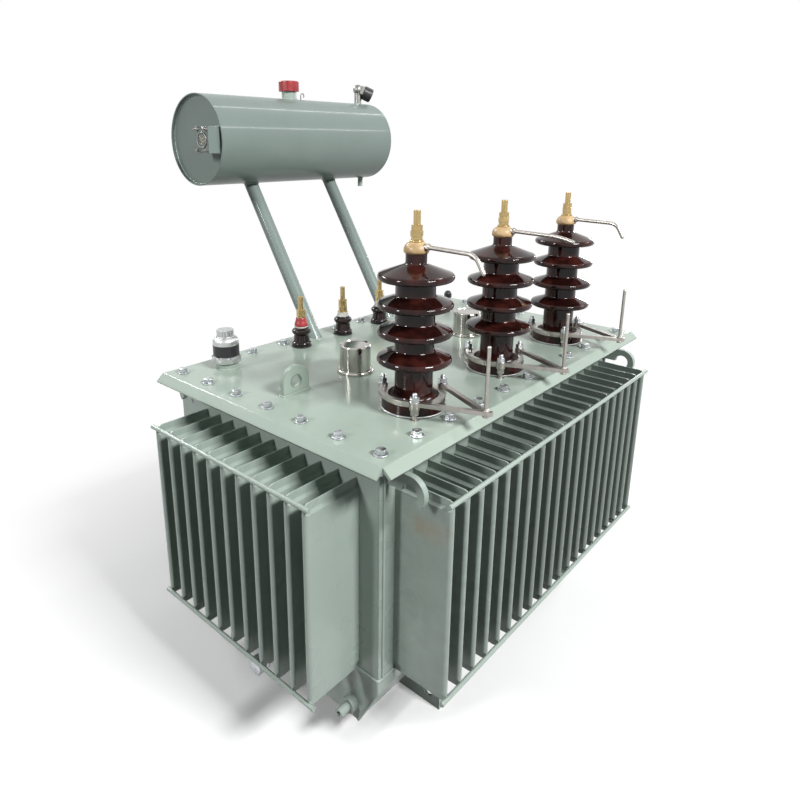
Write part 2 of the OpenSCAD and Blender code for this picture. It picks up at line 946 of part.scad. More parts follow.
module lv_porcelain() {
  edge_r = 0.4 * lv_foot_h;
  shoulder_r = lv_h / 8;
  rotate_extrude()
    polygon(concat(
      [[0, 0]],
      arc([lv_foot_r - edge_r, edge_r], edge_r, -90, 0),
      arc([lv_foot_r - edge_r, lv_foot_h - edge_r], edge_r, 0, 65),
      arc([lv_waist_r + shoulder_r, lv_h - 3.4 * shoulder_r], shoulder_r, 195, 150),
      arc([lv_shoulder_r - shoulder_r, lv_h - 1.6 * shoulder_r], shoulder_r, -40, 90),
      [[lv_washer_r + lap, lv_h], [0, lv_h]]
    ));
}

module lv_porcelains() {
  color(PORCELAIN) for (i = [0 : lv_count - 1]) at_lv(i) lv_porcelain();
}

module lv_washers() {
  color(TAN)
    for (i = [0 : lv_count - 1])
      at_lv(i)
        translate([0, 0, lv_h])
          cylinder(r1 = lv_washer_r, r2 = lv_washer_r - 2 * lap, h = lv_washer_h);
}

module lv_terminals() {
  half_h = lv_nut_h / 2;
  color(BRASS)
    for (i = [0 : lv_count - 1])
      at_lv(i)
        translate([0, 0, lv_nut_z]) {
          hex_nut(lv_nut_w, half_h);
          translate([0, 0, half_h])
            rotate(lock_turn)
              hex_nut(lv_nut_w - lap, half_h);
          cylinder(d = lv_stud_d, h = lv_nut_h + lv_stud_h);
        }
}

// Fittings on the lid

module tap_cap() {
  foot_h = 2 * cap_edge_r;
  dish = cap_edge_r / 2;
  rotate_extrude()
    polygon(concat(
      [[0, 0], [tap_foot_r, 0]],
      arc([tap_foot_r - cap_edge_r, foot_h - cap_edge_r], cap_edge_r, 0, 90),
      [[tap_cap_r, foot_h]],
      arc([tap_cap_r - cap_edge_r, tap_cap_h - cap_edge_r], cap_edge_r, 0, 90),
      [[tap_cap_r - 2 * cap_edge_r, tap_cap_h - dish], [0, tap_cap_h - dish]]
    ));
}

module tap_changer_caps() {
  color(STEEL)
    translate([0, 0, lid_top_z]) {
      translate([tap_left_x, tap_left_y, 0])
        tap_cap();
      translate([tap_right_x, -tap_right_front, 0])
        tap_cap();
    }
}

module at_relief() {
  translate([relief_inset_x - tank_l / 2, tank_w / 2 - relief_inset_y, lid_top_z]) children();
}

module relief_valve() {
  neck_r = relief_r - cap_edge_r;
  flange_r = relief_r + cap_edge_r;
  flange_z = relief_neck_h + relief_flange_t;
  shoulder_r = relief_r - relief_cap_r - lap;
  color(STEEL)
    at_relief()
      rotate_extrude()
        polygon(concat(
          [[0, 0], [neck_r, 0], [neck_r, relief_neck_h], [flange_r, relief_neck_h]],
          [[flange_r, flange_z], [relief_r, flange_z]],
          arc([relief_r - shoulder_r, relief_h - shoulder_r], shoulder_r, 0, 90),
          [[0, relief_h]]
        ));
}

module relief_valve_cap() {
  grip_d = 2.6;
  color(STEEL)
    at_relief()
      translate([0, 0, relief_h])
        linear_extrude(relief_cap_h)
          difference() {
            circle(r = relief_cap_r);
            for (i = [0 : relief_grips - 1])
              rotate(i * 360 / relief_grips)
                translate([relief_cap_r, 0])
                  circle(d = grip_d);
          }
}

module at_pocket() {
  translate([tank_l / 2 - pocket_inset_x, tank_w / 2 - pocket_inset_y, lid_top_z]) children();
}

module thermometer_pocket() {
  neck_r = pocket_r - cap_edge_r;
  color(STEEL)
    at_pocket() {
      cylinder(r = pocket_r, h = pocket_h / 2);
      cylinder(r = neck_r, h = pocket_h);
    }
}

module thermometer_cap() {
  cap_r = pocket_r - cap_edge_r / 2;
  color(BLACK)
    at_pocket()
      translate([0, 0, pocket_h])
        rotate_extrude()
          polygon(concat(
            [[0, 0], [cap_r, 0]],
            arc([0, pocket_cap_h - cap_r], cap_r, 0, 90)
          ));
}

// Conservator

module at_cons() {
  translate([cons_mid_x, cons_back, cons_z]) children();
}

module cons_cylinder(r, length) {
  rotate([0, 90, 0])
    cylinder(r = r, h = length, center = true);
}

module conservator_shell() {
  color(PAINT)
    at_cons()
      difference() {
        cons_cylinder(cons_r, cons_l);
        cons_cylinder(cons_r - cons_t, cons_l + 2 * lap);
      }
}

module cons_end() {
  at_cons()
    translate([cons_l / 2 - cons_recess - cons_t / 2, 0, 0])
      cons_cylinder(cons_r - cons_t, cons_t);
}

module conservator_left_end() {
  color(PAINT)
    translate([2 * cons_mid_x, 0, 0])
      mirror([1, 0, 0])
        cons_end();
}

module conservator_right_end() {
  color(PAINT) cons_end();
}

module conservator_supports() {
  foot = [0, support_foot_y, lid_top_z];
  head = [0, cons_back, cons_z - cons_r];
  over = (head - foot) / norm(head - foot) * support_d;
  color(PAINT)
    for (side = [-1, 1])
      difference() {
        translate([cons_mid_x + side * support_spread / 2, 0, 0])
          difference() {
            yz_rod(foot - over, head + over, support_d);
            translate([-support_d, support_foot_y - 2 * support_d, lid_top_z - 2 * support_d])
              cube([2 * support_d, 4 * support_d, 2 * support_d]);
          }
        at_cons()
          cons_cylinder(cons_r, cons_l);
      }
}

// A round stub that stands on the conservator, from its axis to a height above its crown
module cons_stub(x, d, height) {
  at_cons()
    difference() {
      translate([x, 0, 0])
        cylinder(d = d, h = cons_r + height);
      cons_cylinder(cons_r, cons_l);
    }
}

module filler_neck() {
  color(PAINT) cons_stub(0, neck_d, neck_h);
}

// A round knob of radius r and height h with a rounded upper edge
module round_knob(r, h, edge_r) {
  rotate_extrude()
    polygon(concat([[0, 0], [r, 0]], arc([r - edge_r, h - edge_r], edge_r, 0, 90), [[0, h]]));
}

module filler_cap() {
  flute_d = 7;
  color(RED)
    translate([cons_mid_x, cons_back, cons_z + cons_r + neck_h - fill_skirt_h])
      difference() {
        round_knob(fill_cap_r, fill_cap_h, cap_edge_r);
        for (i = [0 : fill_flutes - 1])
          rotate(i * 360 / fill_flutes)
            translate([fill_cap_r + flute_d / 4, 0, -lap])
              cylinder(d = flute_d, h = fill_cap_h + 2 * lap);
        translate([0, 0, -lap])
          cylinder(d = neck_d + 2 * seat_gap, h = fill_skirt_h + lap);
      }
}

module level_gauge() {
  window_depth = 6;
  left_x = -cons_l / 2 + cons_recess - gauge_d;
  color(PAINT)
    at_cons()
      difference() {
        translate([left_x, -gauge_front - gauge_w / 2, -gauge_h / 2])
          cube([gauge_d, gauge_w, gauge_h]);
        translate([left_x - lap, -gauge_front, 0])
          rotate([0, 90, 0])
            cylinder(r = gauge_window_r, h = window_depth + lap);
        difference() {
          translate([-cons_l / 2, -cons_r, -cons_r])
            cube([cons_recess, 2 * cons_r, 2 * cons_r]);
          cons_cylinder(cons_r - cons_t - seat_gap, cons_l);
        }
      }
}

// The breather's elbow, from which its outlet points along its own Z
module at_elbow() {
  at_cons()
    translate([cons_l / 2 - breather_inset, 0, cons_r + breather_h])
      rotate([0, breather_tilt, -breather_turn])
        children();
}

module breather() {
  nut_h = breather_d / 2;
  color(STEEL) {
    cons_stub(cons_l / 2 - breather_inset, breather_d, breather_h);
    at_elbow() {
      sphere(d = breather_d + 2 * cap_edge_r);
      cylinder(d = breather_d, h = breather_outlet_l);
      translate([0, 0, breather_outlet_l - nut_h])
        hex_nut(breather_d + 2 * cap_edge_r, nut_h);
    }
  }
}

module breather_cap() {
  color(BLACK)
    at_elbow()
      translate([0, 0, breather_outlet_l])
        round_knob(breather_cap_d / 2, breather_cap_l, cap_edge_r);
}

module conservator_drain() {
  bore_d = cons_drain_d / 2;
  color(PAINT)
    at_cons()
      difference() {
        translate([cons_l / 2 - cons_drain_inset, 0, -cons_r - cons_drain_l])
          difference() {
            cylinder(d = cons_drain_d, h = cons_r + cons_drain_l);
            translate([0, 0, -lap])
              cylinder(d = bore_d, h = bore_d + lap);
          }
        cons_cylinder(cons_r, cons_l);
      }
}

// Drain spout and capped oil stub on the left end plate

module tank_drains() {
  color(PAINT)
    translate([-tank_l / 2, 0, spout_z])
      rotate([0, -90, 0]) {
        translate([0, -spout_front, 0])
          difference() {
            union() {
              cylinder(d = spout_collar_d, h = spout_collar_l);
              cylinder(d = spout_d, h = spout_l);
            }
            translate([0, 0, spout_collar_l])
              cylinder(d = spout_d / 2, h = spout_l);
          }
        cylinder(d = stub_d, h = stub_l);
      }
}

left_skid();
right_skid();
tank_trough();
trough_end_plates();
front_corrugated_wall();
rear_corrugated_wall();
left_corrugated_wall();
right_corrugated_wall();
front_tie_rods();
rear_tie_rods();
left_tie_rods();
right_tie_rods();
tank_rim();
lid_gasket();
lid();
front_lifting_hooks();
rear_lifting_hooks();
lid_lifting_lugs();
hv_porcelain_left();
hv_porcelain_middle();
hv_porcelain_right();
hv_clamp_left();
hv_clamp_middle();
hv_clamp_right();
hv_caps();
hv_terminals();
hv_upper_horns();
hv_lower_horns();
lv_porcelains();
lv_washers();
lv_terminals();
tap_changer_caps();
relief_valve();
relief_valve_cap();
thermometer_pocket();
thermometer_cap();
conservator_shell();
conservator_left_end();
conservator_right_end();
conservator_supports();
filler_neck();
filler_cap();
level_gauge();
breather();
breather_cap();
conservator_drain();
tank_drains();
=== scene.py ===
"""Looks of the power transformer: finishes for its solids, small fittings, stage, light and camera."""

import json
import math
import random

import bmesh
import bpy
from mathutils import Matrix, Vector


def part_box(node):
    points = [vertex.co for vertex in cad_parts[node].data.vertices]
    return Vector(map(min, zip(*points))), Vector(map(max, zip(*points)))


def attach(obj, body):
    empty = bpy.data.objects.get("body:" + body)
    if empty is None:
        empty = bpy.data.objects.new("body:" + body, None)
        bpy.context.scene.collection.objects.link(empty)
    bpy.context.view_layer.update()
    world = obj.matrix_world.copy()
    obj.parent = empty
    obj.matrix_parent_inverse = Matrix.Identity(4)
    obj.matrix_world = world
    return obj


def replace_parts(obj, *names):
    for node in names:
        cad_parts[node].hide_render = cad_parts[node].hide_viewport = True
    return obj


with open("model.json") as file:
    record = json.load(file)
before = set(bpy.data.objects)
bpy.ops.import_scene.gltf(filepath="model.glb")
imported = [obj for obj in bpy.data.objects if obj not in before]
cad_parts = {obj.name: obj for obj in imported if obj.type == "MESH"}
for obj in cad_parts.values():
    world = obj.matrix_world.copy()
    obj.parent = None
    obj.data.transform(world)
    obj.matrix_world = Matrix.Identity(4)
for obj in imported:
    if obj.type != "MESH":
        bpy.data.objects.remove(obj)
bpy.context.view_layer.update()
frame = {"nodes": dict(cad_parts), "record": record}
nodes = frame["nodes"]
mounts = {m["name"]: m for m in frame["record"]["mounts"]}
rng = random.Random(7)

# Places that several pieces share, in metres, read from the frame
LID_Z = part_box("lid")[1].z
RIM_FOOT_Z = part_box("tank_rim")[0].z
WALL_FOOT_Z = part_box("front_corrugated_wall")[0].z
FLOOR_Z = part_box("tank_trough")[0].z
TANK_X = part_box("trough_end_plates")[1].x
TANK_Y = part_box("trough_end_plates")[1].y
HV_STUDS = [mounts[f"hv_stud_{side}"] for side in ("left", "middle", "right")]
LV_STUDS = [mounts[f"lv_stud_{i}"] for i in (1, 2, 3, 4)]
HV = [Vector(m["pos_m"]) for m in HV_STUDS]
LV = [Vector(m["pos_m"]) for m in LV_STUDS]
SHELL_LO, SHELL_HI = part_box("conservator_shell")
SHELL_MID = (SHELL_LO + SHELL_HI) / 2
SHELL_R = (SHELL_HI.z - SHELL_LO.z) / 2
CLAMP_LO, CLAMP_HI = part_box("hv_clamp_left")
CAP_FOOT_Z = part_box("hv_caps")[0].z
LOWER_HORN_TOP_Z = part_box("hv_lower_horns")[1].z

# What the frame doesn't state: sizes in metres, counts, and angles in degrees
BOLT_LINE_OUT = 0.0125
LONG_BOLTS, END_BOLTS = 11, 7
FIN_PITCH = 0.045
LONG_FINS, END_FINS = 20, 11
EAR_R = 0.068
EAR_ANGLES = (100, 220, 340)
HORN_ANGLE = 270
HORN_REACH = 0.163
HORN_BAR_T = 0.008
HORN_R = 0.0041

# Signs of the two sides of a mirror plane
BOTH = (-1, 1)

# Angles in degrees past which an edge is shaded sharp
CUT_EDGE = 35
WELD_EDGE = 60


# Mesh helpers


def place(at, axis=(0, 0, 1), turn=0.0):
    """Puts what is drawn up +Z at a point, along an axis and turned about it by some degrees."""
    lean = Vector(axis).to_track_quat("Z", "Y").to_matrix().to_4x4()
    return Matrix.Translation(Vector(at)) @ lean @ Matrix.Rotation(math.radians(turn), 4, "Z")


def turns(count):
    """Angles of so many points evenly round a circle."""
    return [2 * math.pi * i / count for i in range(count)]


def bridge(bm, a, b):
    """Joins two rings of vertices, either of which may be a single point."""
    count = max(len(a), len(b))
    for i in range(count):
        j = i + 1
        corners = (a[i % len(a)], a[j % len(a)], b[j % len(b)], b[i % len(b)])
        bm.faces.new(list(dict.fromkeys(corners)))


def skin(bm, rings):
    """Joins a row of rings and caps its open ends."""
    for a, b in zip(rings, rings[1:]):
        bridge(bm, a, b)
    for end in (rings[0], rings[-1]):
        if len(end) > 2:
            bm.faces.new(end)


def lathe(bm, matrix, profile, segments=32):
    """Revolves (radius, height) points about Z. A radius of 0 closes the end in a point."""
    rings = []
    for radius, height in profile:
        if radius == 0:
            rings.append([bm.verts.new(matrix @ Vector((0, 0, height)))])
            continue
        points = [Vector((radius * math.cos(a), radius * math.sin(a), height)) for a in turns(segments)]
        rings.append([bm.verts.new(matrix @ p) for p in points])
    skin(bm, rings)


def ring_profile(inner, outer, low, high, edge):
    """Profile of a flat ring with eased outer edges, closed by its own inner wall."""
    return [
        (inner, low), (outer - edge, low), (outer, low + edge), (outer, high - edge),
        (outer - edge, high), (inner, high),
    ]


def hex_head(bm, matrix, across, height, dome=0.0):
    """A hexagon nut or bolt head with chamfered corners and a slightly domed or flat top."""
    flat = across / 2
    corner = flat / math.cos(math.radians(30))
    drop = 0.6 * (corner - flat)
    rim, crown = 0.93 * flat, 0.55 * flat
    crown_z = height + 0.8 * dome

    def ring(radii, heights):
        points = []
        for i in range(12):
            a = math.radians(30 * i)
            r, z = radii[i % 2], heights[i % 2]
            points.append(bm.verts.new(matrix @ Vector((r * math.cos(a), r * math.sin(a), z))))
        return points

    skin(bm, [
        ring((rim, rim), (0, 0)),
        ring((corner, flat), (drop, 0.1 * drop)),
        ring((corner, flat), (height - drop, height - 0.1 * drop)),
        ring((rim, rim), (height, height)),
        ring((crown, crown), (crown_z, crown_z)),
        [bm.verts.new(matrix @ Vector((0, 0, height + dome)))],
    ])


def block(bm, matrix, width, depth, height, edge):
    """An upright block with chamfered corners and eased ends."""

    def ring(shrink, z):
        x, y = width / 2 - shrink, depth / 2 - shrink
        points = [(x - edge, -y), (x, edge - y), (x, y - edge), (x - edge, y)]
        points += [(-px, -py) for px, py in points]
        return [bm.verts.new(matrix @ Vector((px, py, z))) for px, py in points]

    skin(bm, [ring(edge, 0), ring(0, edge), ring(0, height - edge), ring(edge, height)])


def thread(bm, matrix, root, crest, pitch, length, sides=20):
    """A helical screw thread of a length along Z, with a bevelled end."""
    steps = int(2 * length / pitch)
    rows = []
    for i in range(steps + 1):
        radius = crest if i % 2 else root
        row = []
        for j in range(sides):
            a = 2 * math.pi * j / sides
            z = min((i / 2 + j / sides) * pitch, length)
            r = min(radius, root + (length - z) * 0.5)
            row.append(bm.verts.new(matrix @ Vector((r * math.cos(a), r * math.sin(a), z))))
        rows.append(row)
    for i in range(steps):
        for j in range(sides - 1):
            bm.faces.new((rows[i][j], rows[i][j + 1], rows[i + 1][j + 1], rows[i + 1][j]))
        if i + 3 <= steps:
            bm.faces.new((rows[i][-1], rows[i + 2][0], rows[i + 3][0], rows[i + 1][-1]))
    bm.faces.new(rows[-1])


def resample(points, step, closed):
    """Points at even spacing along a line, as (point, distance along it)."""
    line = [Vector(p) for p in points]
    if closed:
        line.append(line[0])
    found, walked = [], 0.0
    for a, b in zip(line, line[1:]):
        length = (b - a).length
        count = max(1, round(length / step))
        found += [(a.lerp(b, i / count), walked + length * i / count) for i in range(count)]
        walked += length
    if not closed:
        found.append((line[-1], walked))
    return found


def sweep(bm, spots, radius_at, sides, closed):
    """Sweeps a round section along (point, distance) spots."""
    rings = []
    up = Vector((0.31, 0.52, 0.79))  # Slanted, so that no line of the part runs along it
    count = len(spots)
    for i, (point, along) in enumerate(spots):
        before = spots[(i - 1) % count if closed else max(i - 1, 0)][0]
        after = spots[(i + 1) % count if closed else min(i + 1, count - 1)][0]
        ahead = (after - before).normalized()
        side = ahead.cross(up).normalized()
        up = side.cross(ahead).normalized()
        r = radius_at(along)
        section = [math.cos(a) * side + math.sin(a) * up for a in turns(sides)]
        rings.append([bm.verts.new(point + r * off) for off in section])
    if not closed:
        skin(bm, rings)
        return
    for a, b in zip(rings, rings[1:]):
        bridge(bm, a, b)
    shift = min(range(sides), key=lambda k: (rings[0][k].co - rings[-1][0].co).length)
    bridge(bm, rings[-1], rings[0][shift:] + rings[0][:shift])


def wire(bm, points, radius, sides=8):
    """A round wire through points, with a rounded far end."""
    spots = resample(points, radius / 2, False)
    length = spots[-1][1]

    def radius_at(along):
        past = max(0.0, (along - length + radius) / radius)
        return radius * max(0.12, math.sqrt(max(0.0, 1 - past * past)))

    sweep(bm, spots, radius_at, sides, False)


def rounded(points, bend_r, count=8):
    """The points of a line with its inner corners rounded."""
    line = [Vector(p) for p in points]
    found = [line[0]]
    for before, corner, after in zip(line, line[1:], line[2:]):
        a = corner + (before - corner).normalized() * bend_r
        b = corner + (after - corner).normalized() * bend_r
        for i in range(count + 1):
            t = i / count
            found.append(a.lerp(corner, t).lerp(corner.lerp(b, t), t))
    return found + [line[-1]]


def bead(bm, points, size, closed=False):
    """A weld bead along a line, rippled like overlapping drops."""
    phase = rng.uniform(0, 6)
    ripple_l, slow_l, quick_l = 0.0016, 0.021, 0.0093
    step = 0.0013 if size < 0.003 else 0.0017

    def radius_at(along):
        ripple = abs(math.sin(along / ripple_l + phase))
        wander = math.sin(along / slow_l + phase) + math.sin(along / quick_l + 2 * phase)
        return size * (0.86 + 0.2 * ripple + 0.05 * wander)

    sweep(bm, resample(points, step, closed), radius_at, 6, closed)


def tack(bm, at, size):
    """A small uneven lump of weld."""
    made = bmesh.ops.create_icosphere(bm, subdivisions=2, radius=1.0, matrix=Matrix.Translation(at))
    stretch = [size * rng.uniform(0.8, 1.2) for _ in range(3)]
    for v in made["verts"]:
        off = v.co - at
        v.co = at + Vector((off[k] * stretch[k] * rng.uniform(0.93, 1.07) for k in range(3)))


def piece(name, bm, finish, sharp=CUT_EDGE):
    """Turns a mesh under construction into a named piece of the object."""
    bmesh.ops.dissolve_degenerate(bm, dist=1e-6, edges=bm.edges)
    bmesh.ops.recalc_face_normals(bm, faces=bm.faces)
    mesh = bpy.data.meshes.new(name)
    bm.to_mesh(mesh)
    bm.free()
    mesh.shade_smooth()
    mesh.set_sharp_from_angle(angle=math.radians(sharp))
    mesh.materials.append(finish)
    obj = bpy.data.objects.new(name, mesh)
    bpy.context.scene.collection.objects.link(obj)
    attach(obj, "root")
    return obj


# Finishes


def add(tree, kind, inputs, **settings):
    """Adds a shader node, with sockets linked or values set by name or number."""
    made = tree.nodes.new("ShaderNode" + kind)
    for key, value in settings.items():
        setattr(made, key, value)
    for key, value in inputs.items():
        if isinstance(value, bpy.types.NodeSocket):
            tree.links.new(value, made.inputs[key])
        else:
            made.inputs[key].default_value = value
    return made


def noise(tree, scale, detail=2.0, stretch=(1, 1, 1)):
    """Noise over the object's own coordinates, optionally stretched along an axis."""
    spot = add(tree, "TexCoord", {}).outputs["Object"]
    if stretch != (1, 1, 1):
        spot = add(tree, "Mapping", {"Vector": spot, "Scale": stretch}).outputs[0]
    return add(tree, "TexNoise", {"Vector": spot, "Scale": scale, "Detail": detail}).outputs[0]


def spread(tree, value, low, high, to_low=0.0, to_high=1.0):
    """Maps a value smoothly from one range to another, held at its ends."""
    ends = {0: value, 1: low, 2: high, 3: to_low, 4: to_high}
    return add(tree, "MapRange", ends, interpolation_type="SMOOTHSTEP").outputs[0]


def tint(tree, factor, a, b):
    """Mixes two colours or sockets by a factor, through the Mix node's colour sockets, 6, 7 and 2."""
    colours = [c if isinstance(c, bpy.types.NodeSocket) else (*c, 1) for c in (a, b)]
    return add(tree, "Mix", {0: factor, 6: colours[0], 7: colours[1]}, data_type="RGBA").outputs[2]


def scaled(colour, by):
    """A colour made lighter or darker."""
    return tuple(c * by for c in colour)


def bumped(tree, layers, soft_edge):
    """A normal with softened edges and layers of (height, strength, depth) on it."""
    normal = add(tree, "Bevel", {"Radius": soft_edge}, samples=4).outputs[0]
    for height, strength, depth in layers:
        normal = add(
            tree, "Bump", {"Height": height, "Strength": strength, "Distance": depth, "Normal": normal}
        ).outputs[0]
    return normal


def blank(owner):
    """Gives a material or world an empty node tree."""
    owner.use_nodes = True
    owner.node_tree.nodes.clear()
    return owner.node_tree


def start(name):
    """A new material with a principled shader wired to its output."""
    mat = bpy.data.materials.new(name)
    tree = blank(mat)
    shader = add(tree, "BsdfPrincipled", {})
    add(tree, "OutputMaterial", {"Surface": shader.outputs[0]})
    return mat, tree, shader


def finish_with(tree, shader, colour, rough, normal, **fixed):
    """Wires the varied inputs of a principled shader and sets the even ones."""
    tree.links.new(colour, shader.inputs["Base Color"])
    tree.links.new(rough, shader.inputs["Roughness"])
    tree.links.new(normal, shader.inputs["Normal"])
    for key, value in fixed.items():
        shader.inputs[key.replace("_", " ")].default_value = value


def paint(name, colour, rough, peel=0.12, sag=0.2, fold_r=0.0012, shine=0.45, coat=0.0, stains_and_shade=()):
    """Sprayed enamel: cloudy tone, runs, dust specks, corners and crevices darkened as painted shade
    with a brown tint of grime, patches of stain and of painted shade, orange peel and sags.
    """
    mat, tree, shader = start(name)
    cloud = spread(tree, noise(tree, 5.0, 4.0), 0.35, 0.65)
    tone = tint(tree, cloud, scaled(colour, 0.965), scaled(colour, 1.025))
    runs = spread(tree, noise(tree, 9.0, 3.0, (4, 4, 0.35)), 0.52, 0.78, 0.0, 0.25)
    tone = tint(tree, runs, tone, scaled(colour, 0.84))
    specks = spread(tree, noise(tree, 420.0, 1.0), 0.70, 0.76, 0.0, 0.25)
    tone = tint(tree, specks, tone, scaled(colour, 1.25))
    # Corners and crevices darkened by ambient occlusion: painted shade, with a brown tint of grime
    crevice = add(tree, "AmbientOcclusion", {"Distance": 0.012}, samples=4).outputs["AO"]
    grime_and_shade = spread(tree, crevice, 0.35, 0.8, 0.45, 0.0)
    red, green, blue = colour
    tone = tint(tree, grime_and_shade, tone, scaled((red, green * 0.96, blue * 0.90), 0.55))
    # Stains, and patches of painted shade
    for stain_and_shade in stains_and_shade:
        tone = stain_and_shade_patch(tree, tone, **stain_and_shade)
    dull = spread(tree, noise(tree, 11.0, 2.0), 0.2, 0.8, 0.92 * rough, 1.1 * rough)
    film = [(noise(tree, 7.0, 1.0), sag, 0.004), (noise(tree, 260.0, 1.0), peel, 0.0006)]
    normal = bumped(tree, film, fold_r)
    finish_with(
        tree, shader, tone, dull, normal,
        Specular_IOR_Level=shine, Coat_Weight=coat, Coat_Roughness=0.12,
    )
    return mat


def stain_and_shade_patch(tree, tone, centre, size, stain_and_shade, strength, ragged):
    """Lays a patch of another colour round a point, with a more or less ragged edge."""
    spot = add(tree, "TexCoord", {}).outputs["Object"]
    away = add(tree, "VectorMath", {0: spot, 1: centre}, operation="SUBTRACT").outputs[0]
    away = add(tree, "VectorMath", {0: away, 1: size}, operation="DIVIDE").outputs[0]
    reach = add(tree, "VectorMath", {0: away}, operation="LENGTH").outputs["Value"]
    patchy = {0: noise(tree, 45.0, 4.0), 1: ragged, 2: -ragged / 2}
    waver = add(tree, "Math", patchy, operation="MULTIPLY_ADD").outputs[0]
    edge = add(tree, "Math", {0: reach, 1: waver}, operation="ADD").outputs[0]
    return tint(tree, spread(tree, edge, 1.0, 0.2, 0.0, strength), tone, stain_and_shade)


def metal(name, colour, rough, mottle=0.12, grain=(1, 1, 1), scratch=0.06):
    """Plated or bare metal: mottled tone, crevices darkened as painted shade, uneven polish and fine
    tool marks along a grain.
    """
    mat, tree, shader = start(name)
    patches = spread(tree, noise(tree, 90.0, 3.0), 0.25, 0.75)
    tone = tint(tree, patches, scaled(colour, 1 - mottle), scaled(colour, 1 + 0.5 * mottle))
    # Crevices darkened by ambient occlusion: painted shade
    crevice = add(tree, "AmbientOcclusion", {"Distance": 0.004}, samples=4).outputs["AO"]
    tone = tint(tree, spread(tree, crevice, 0.3, 0.8, 0.6, 0.0), tone, scaled(colour, 0.35))
    dull = spread(tree, noise(tree, 120.0, 2.0), 0.25, 0.75, 0.85 * rough, 1.2 * rough)
    marks = noise(tree, 600.0, 2.0, grain)
    normal = bumped(tree, [(marks, scratch, 0.0004)], 0.0006)
    finish_with(tree, shader, tone, dull, normal, Metallic=1.0)
    return mat


def glaze(name, colour, thin, shine=0.3):
    """Fired porcelain glaze: deep colour, thinner and redder in clouds, with a rippled wet gloss."""
    mat, tree, shader = start(name)
    clouds = spread(tree, noise(tree, 28.0, 4.0, (1, 1, 0.5)), 0.40, 0.68)
    tone = tint(tree, clouds, colour, thin)
    pits = spread(tree, noise(tree, 700.0, 1.0), 0.70, 0.78, 0.0, 0.5)
    tone = tint(tree, pits, tone, scaled(colour, 0.4))
    gloss = spread(tree, noise(tree, 40.0, 2.0), 0.3, 0.7, 0.03, 0.06)
    ripples = [(noise(tree, 34.0, 1.0), 0.10, 0.002), (noise(tree, 500.0, 0.0), 0.02, 0.0005)]
    normal = bumped(tree, ripples, 0.001)
    finish_with(tree, shader, tone, gloss, normal, Specular_IOR_Level=shine)
    return mat


def moulded(name, colour, rough, pebble=0.15):
    """Moulded resin, plastic or rubber: cloudy colour, scuffs and a fine pebbled skin."""
    mat, tree, shader = start(name)
    cloudy = 0.15
    clouds = spread(tree, noise(tree, 60.0, 4.0), 0.3, 0.7)
    tone = tint(tree, clouds, scaled(colour, 1 - cloudy), scaled(colour, 1 + cloudy))
    scuffs = spread(tree, noise(tree, 130.0, 3.0, (1, 1, 4)), 0.62, 0.75, 0.0, 0.3)
    tone = tint(tree, scuffs, tone, tuple(0.6 * c + 0.12 for c in colour))
    dull = spread(tree, noise(tree, 90.0, 3.0), 0.3, 0.7, 0.8 * rough, 1.25 * rough)
    normal = bumped(tree, [(noise(tree, 900.0, 1.0), pebble, 0.0003)], 0.0008)
    finish_with(tree, shader, tone, dull, normal)
    return mat


def clear_glass(name):
    """Gauge glass with a faint green body and a few wipe marks."""
    mat, tree, shader = start(name)
    clouds = spread(tree, noise(tree, 120.0, 2.0), 0.3, 0.7)
    tone = tint(tree, clouds, (0.90, 0.96, 0.93), (0.97, 1.0, 0.98))
    smears = spread(tree, noise(tree, 300.0, 3.0, (1, 3, 1)), 0.45, 0.75, 0.01, 0.05)
    normal = bumped(tree, [(noise(tree, 80.0, 1.0), 0.04, 0.0005)], 0.0004)
    finish_with(tree, shader, tone, smears, normal, Transmission_Weight=0.92, IOR=1.46)
    return mat


TANK_GREY = (0.345, 0.415, 0.372)
LID_GREY = (0.345, 0.418, 0.360)
# The conservator's paint: the tank's green-grey made darker, as painted shade
SHADED_SHELL_GREY = (0.200, 0.248, 0.230)

# A brown smear on the first front fin, and painted shade that darkens the front fins and thins out to
# the left
FIN_STAIN = {
    "centre": (-0.4330, -0.352, 0.525), "size": (0.02, 0.060, 0.034),
    "stain_and_shade": (0.36, 0.285, 0.20), "strength": 0.52, "ragged": 1.4,
}
# Painted shade: the front fins darkened towards half the tank's grey, thinning out to the left
FRONT_FIN_SHADE = {
    "centre": (0.15, -0.36, 0.33), "size": (0.85, 0.60, 1.00),
    "stain_and_shade": scaled(TANK_GREY, 0.50), "strength": 0.85, "ragged": 0.4,
}

tank_paint = paint("tank_paint", TANK_GREY, 0.28, peel=0.07)
wall_paint = paint("front_wall_paint", TANK_GREY, 0.28, peel=0.07, stains_and_shade=[FRONT_FIN_SHADE, FIN_STAIN])
shell_paint = paint("shell_paint", SHADED_SHELL_GREY, 0.42, peel=0.02, sag=0.03, shine=0.15, coat=0.30)
weld_paint = paint("weld_paint", scaled(TANK_GREY, 1.04), 0.36, peel=0.2)
lid_paint = paint("lid_paint", LID_GREY, 0.20, peel=0.07, sag=0.12, fold_r=0.004)
porcelain = glaze("porcelain", (0.014, 0.0040, 0.0034), (0.042, 0.0095, 0.0072))
dark_porcelain = glaze("dark_porcelain", (0.0060, 0.0024, 0.0022), (0.017, 0.0050, 0.0042), 0.45)
zinc = metal("zinc_plate", (0.57, 0.59, 0.61), 0.30)
horn_steel = metal("horn_steel", (0.42, 0.395, 0.365), 0.33, grain=(1, 0.15, 1), scratch=0.015)
ring_steel = metal("ring_steel", (0.42, 0.43, 0.43), 0.35)
chrome = metal("chrome", (0.47, 0.455, 0.42), 0.09, mottle=0.05, scratch=0.01)
cast_alloy = metal("cast_alloy", (0.54, 0.55, 0.55), 0.40, mottle=0.08, scratch=0.1)
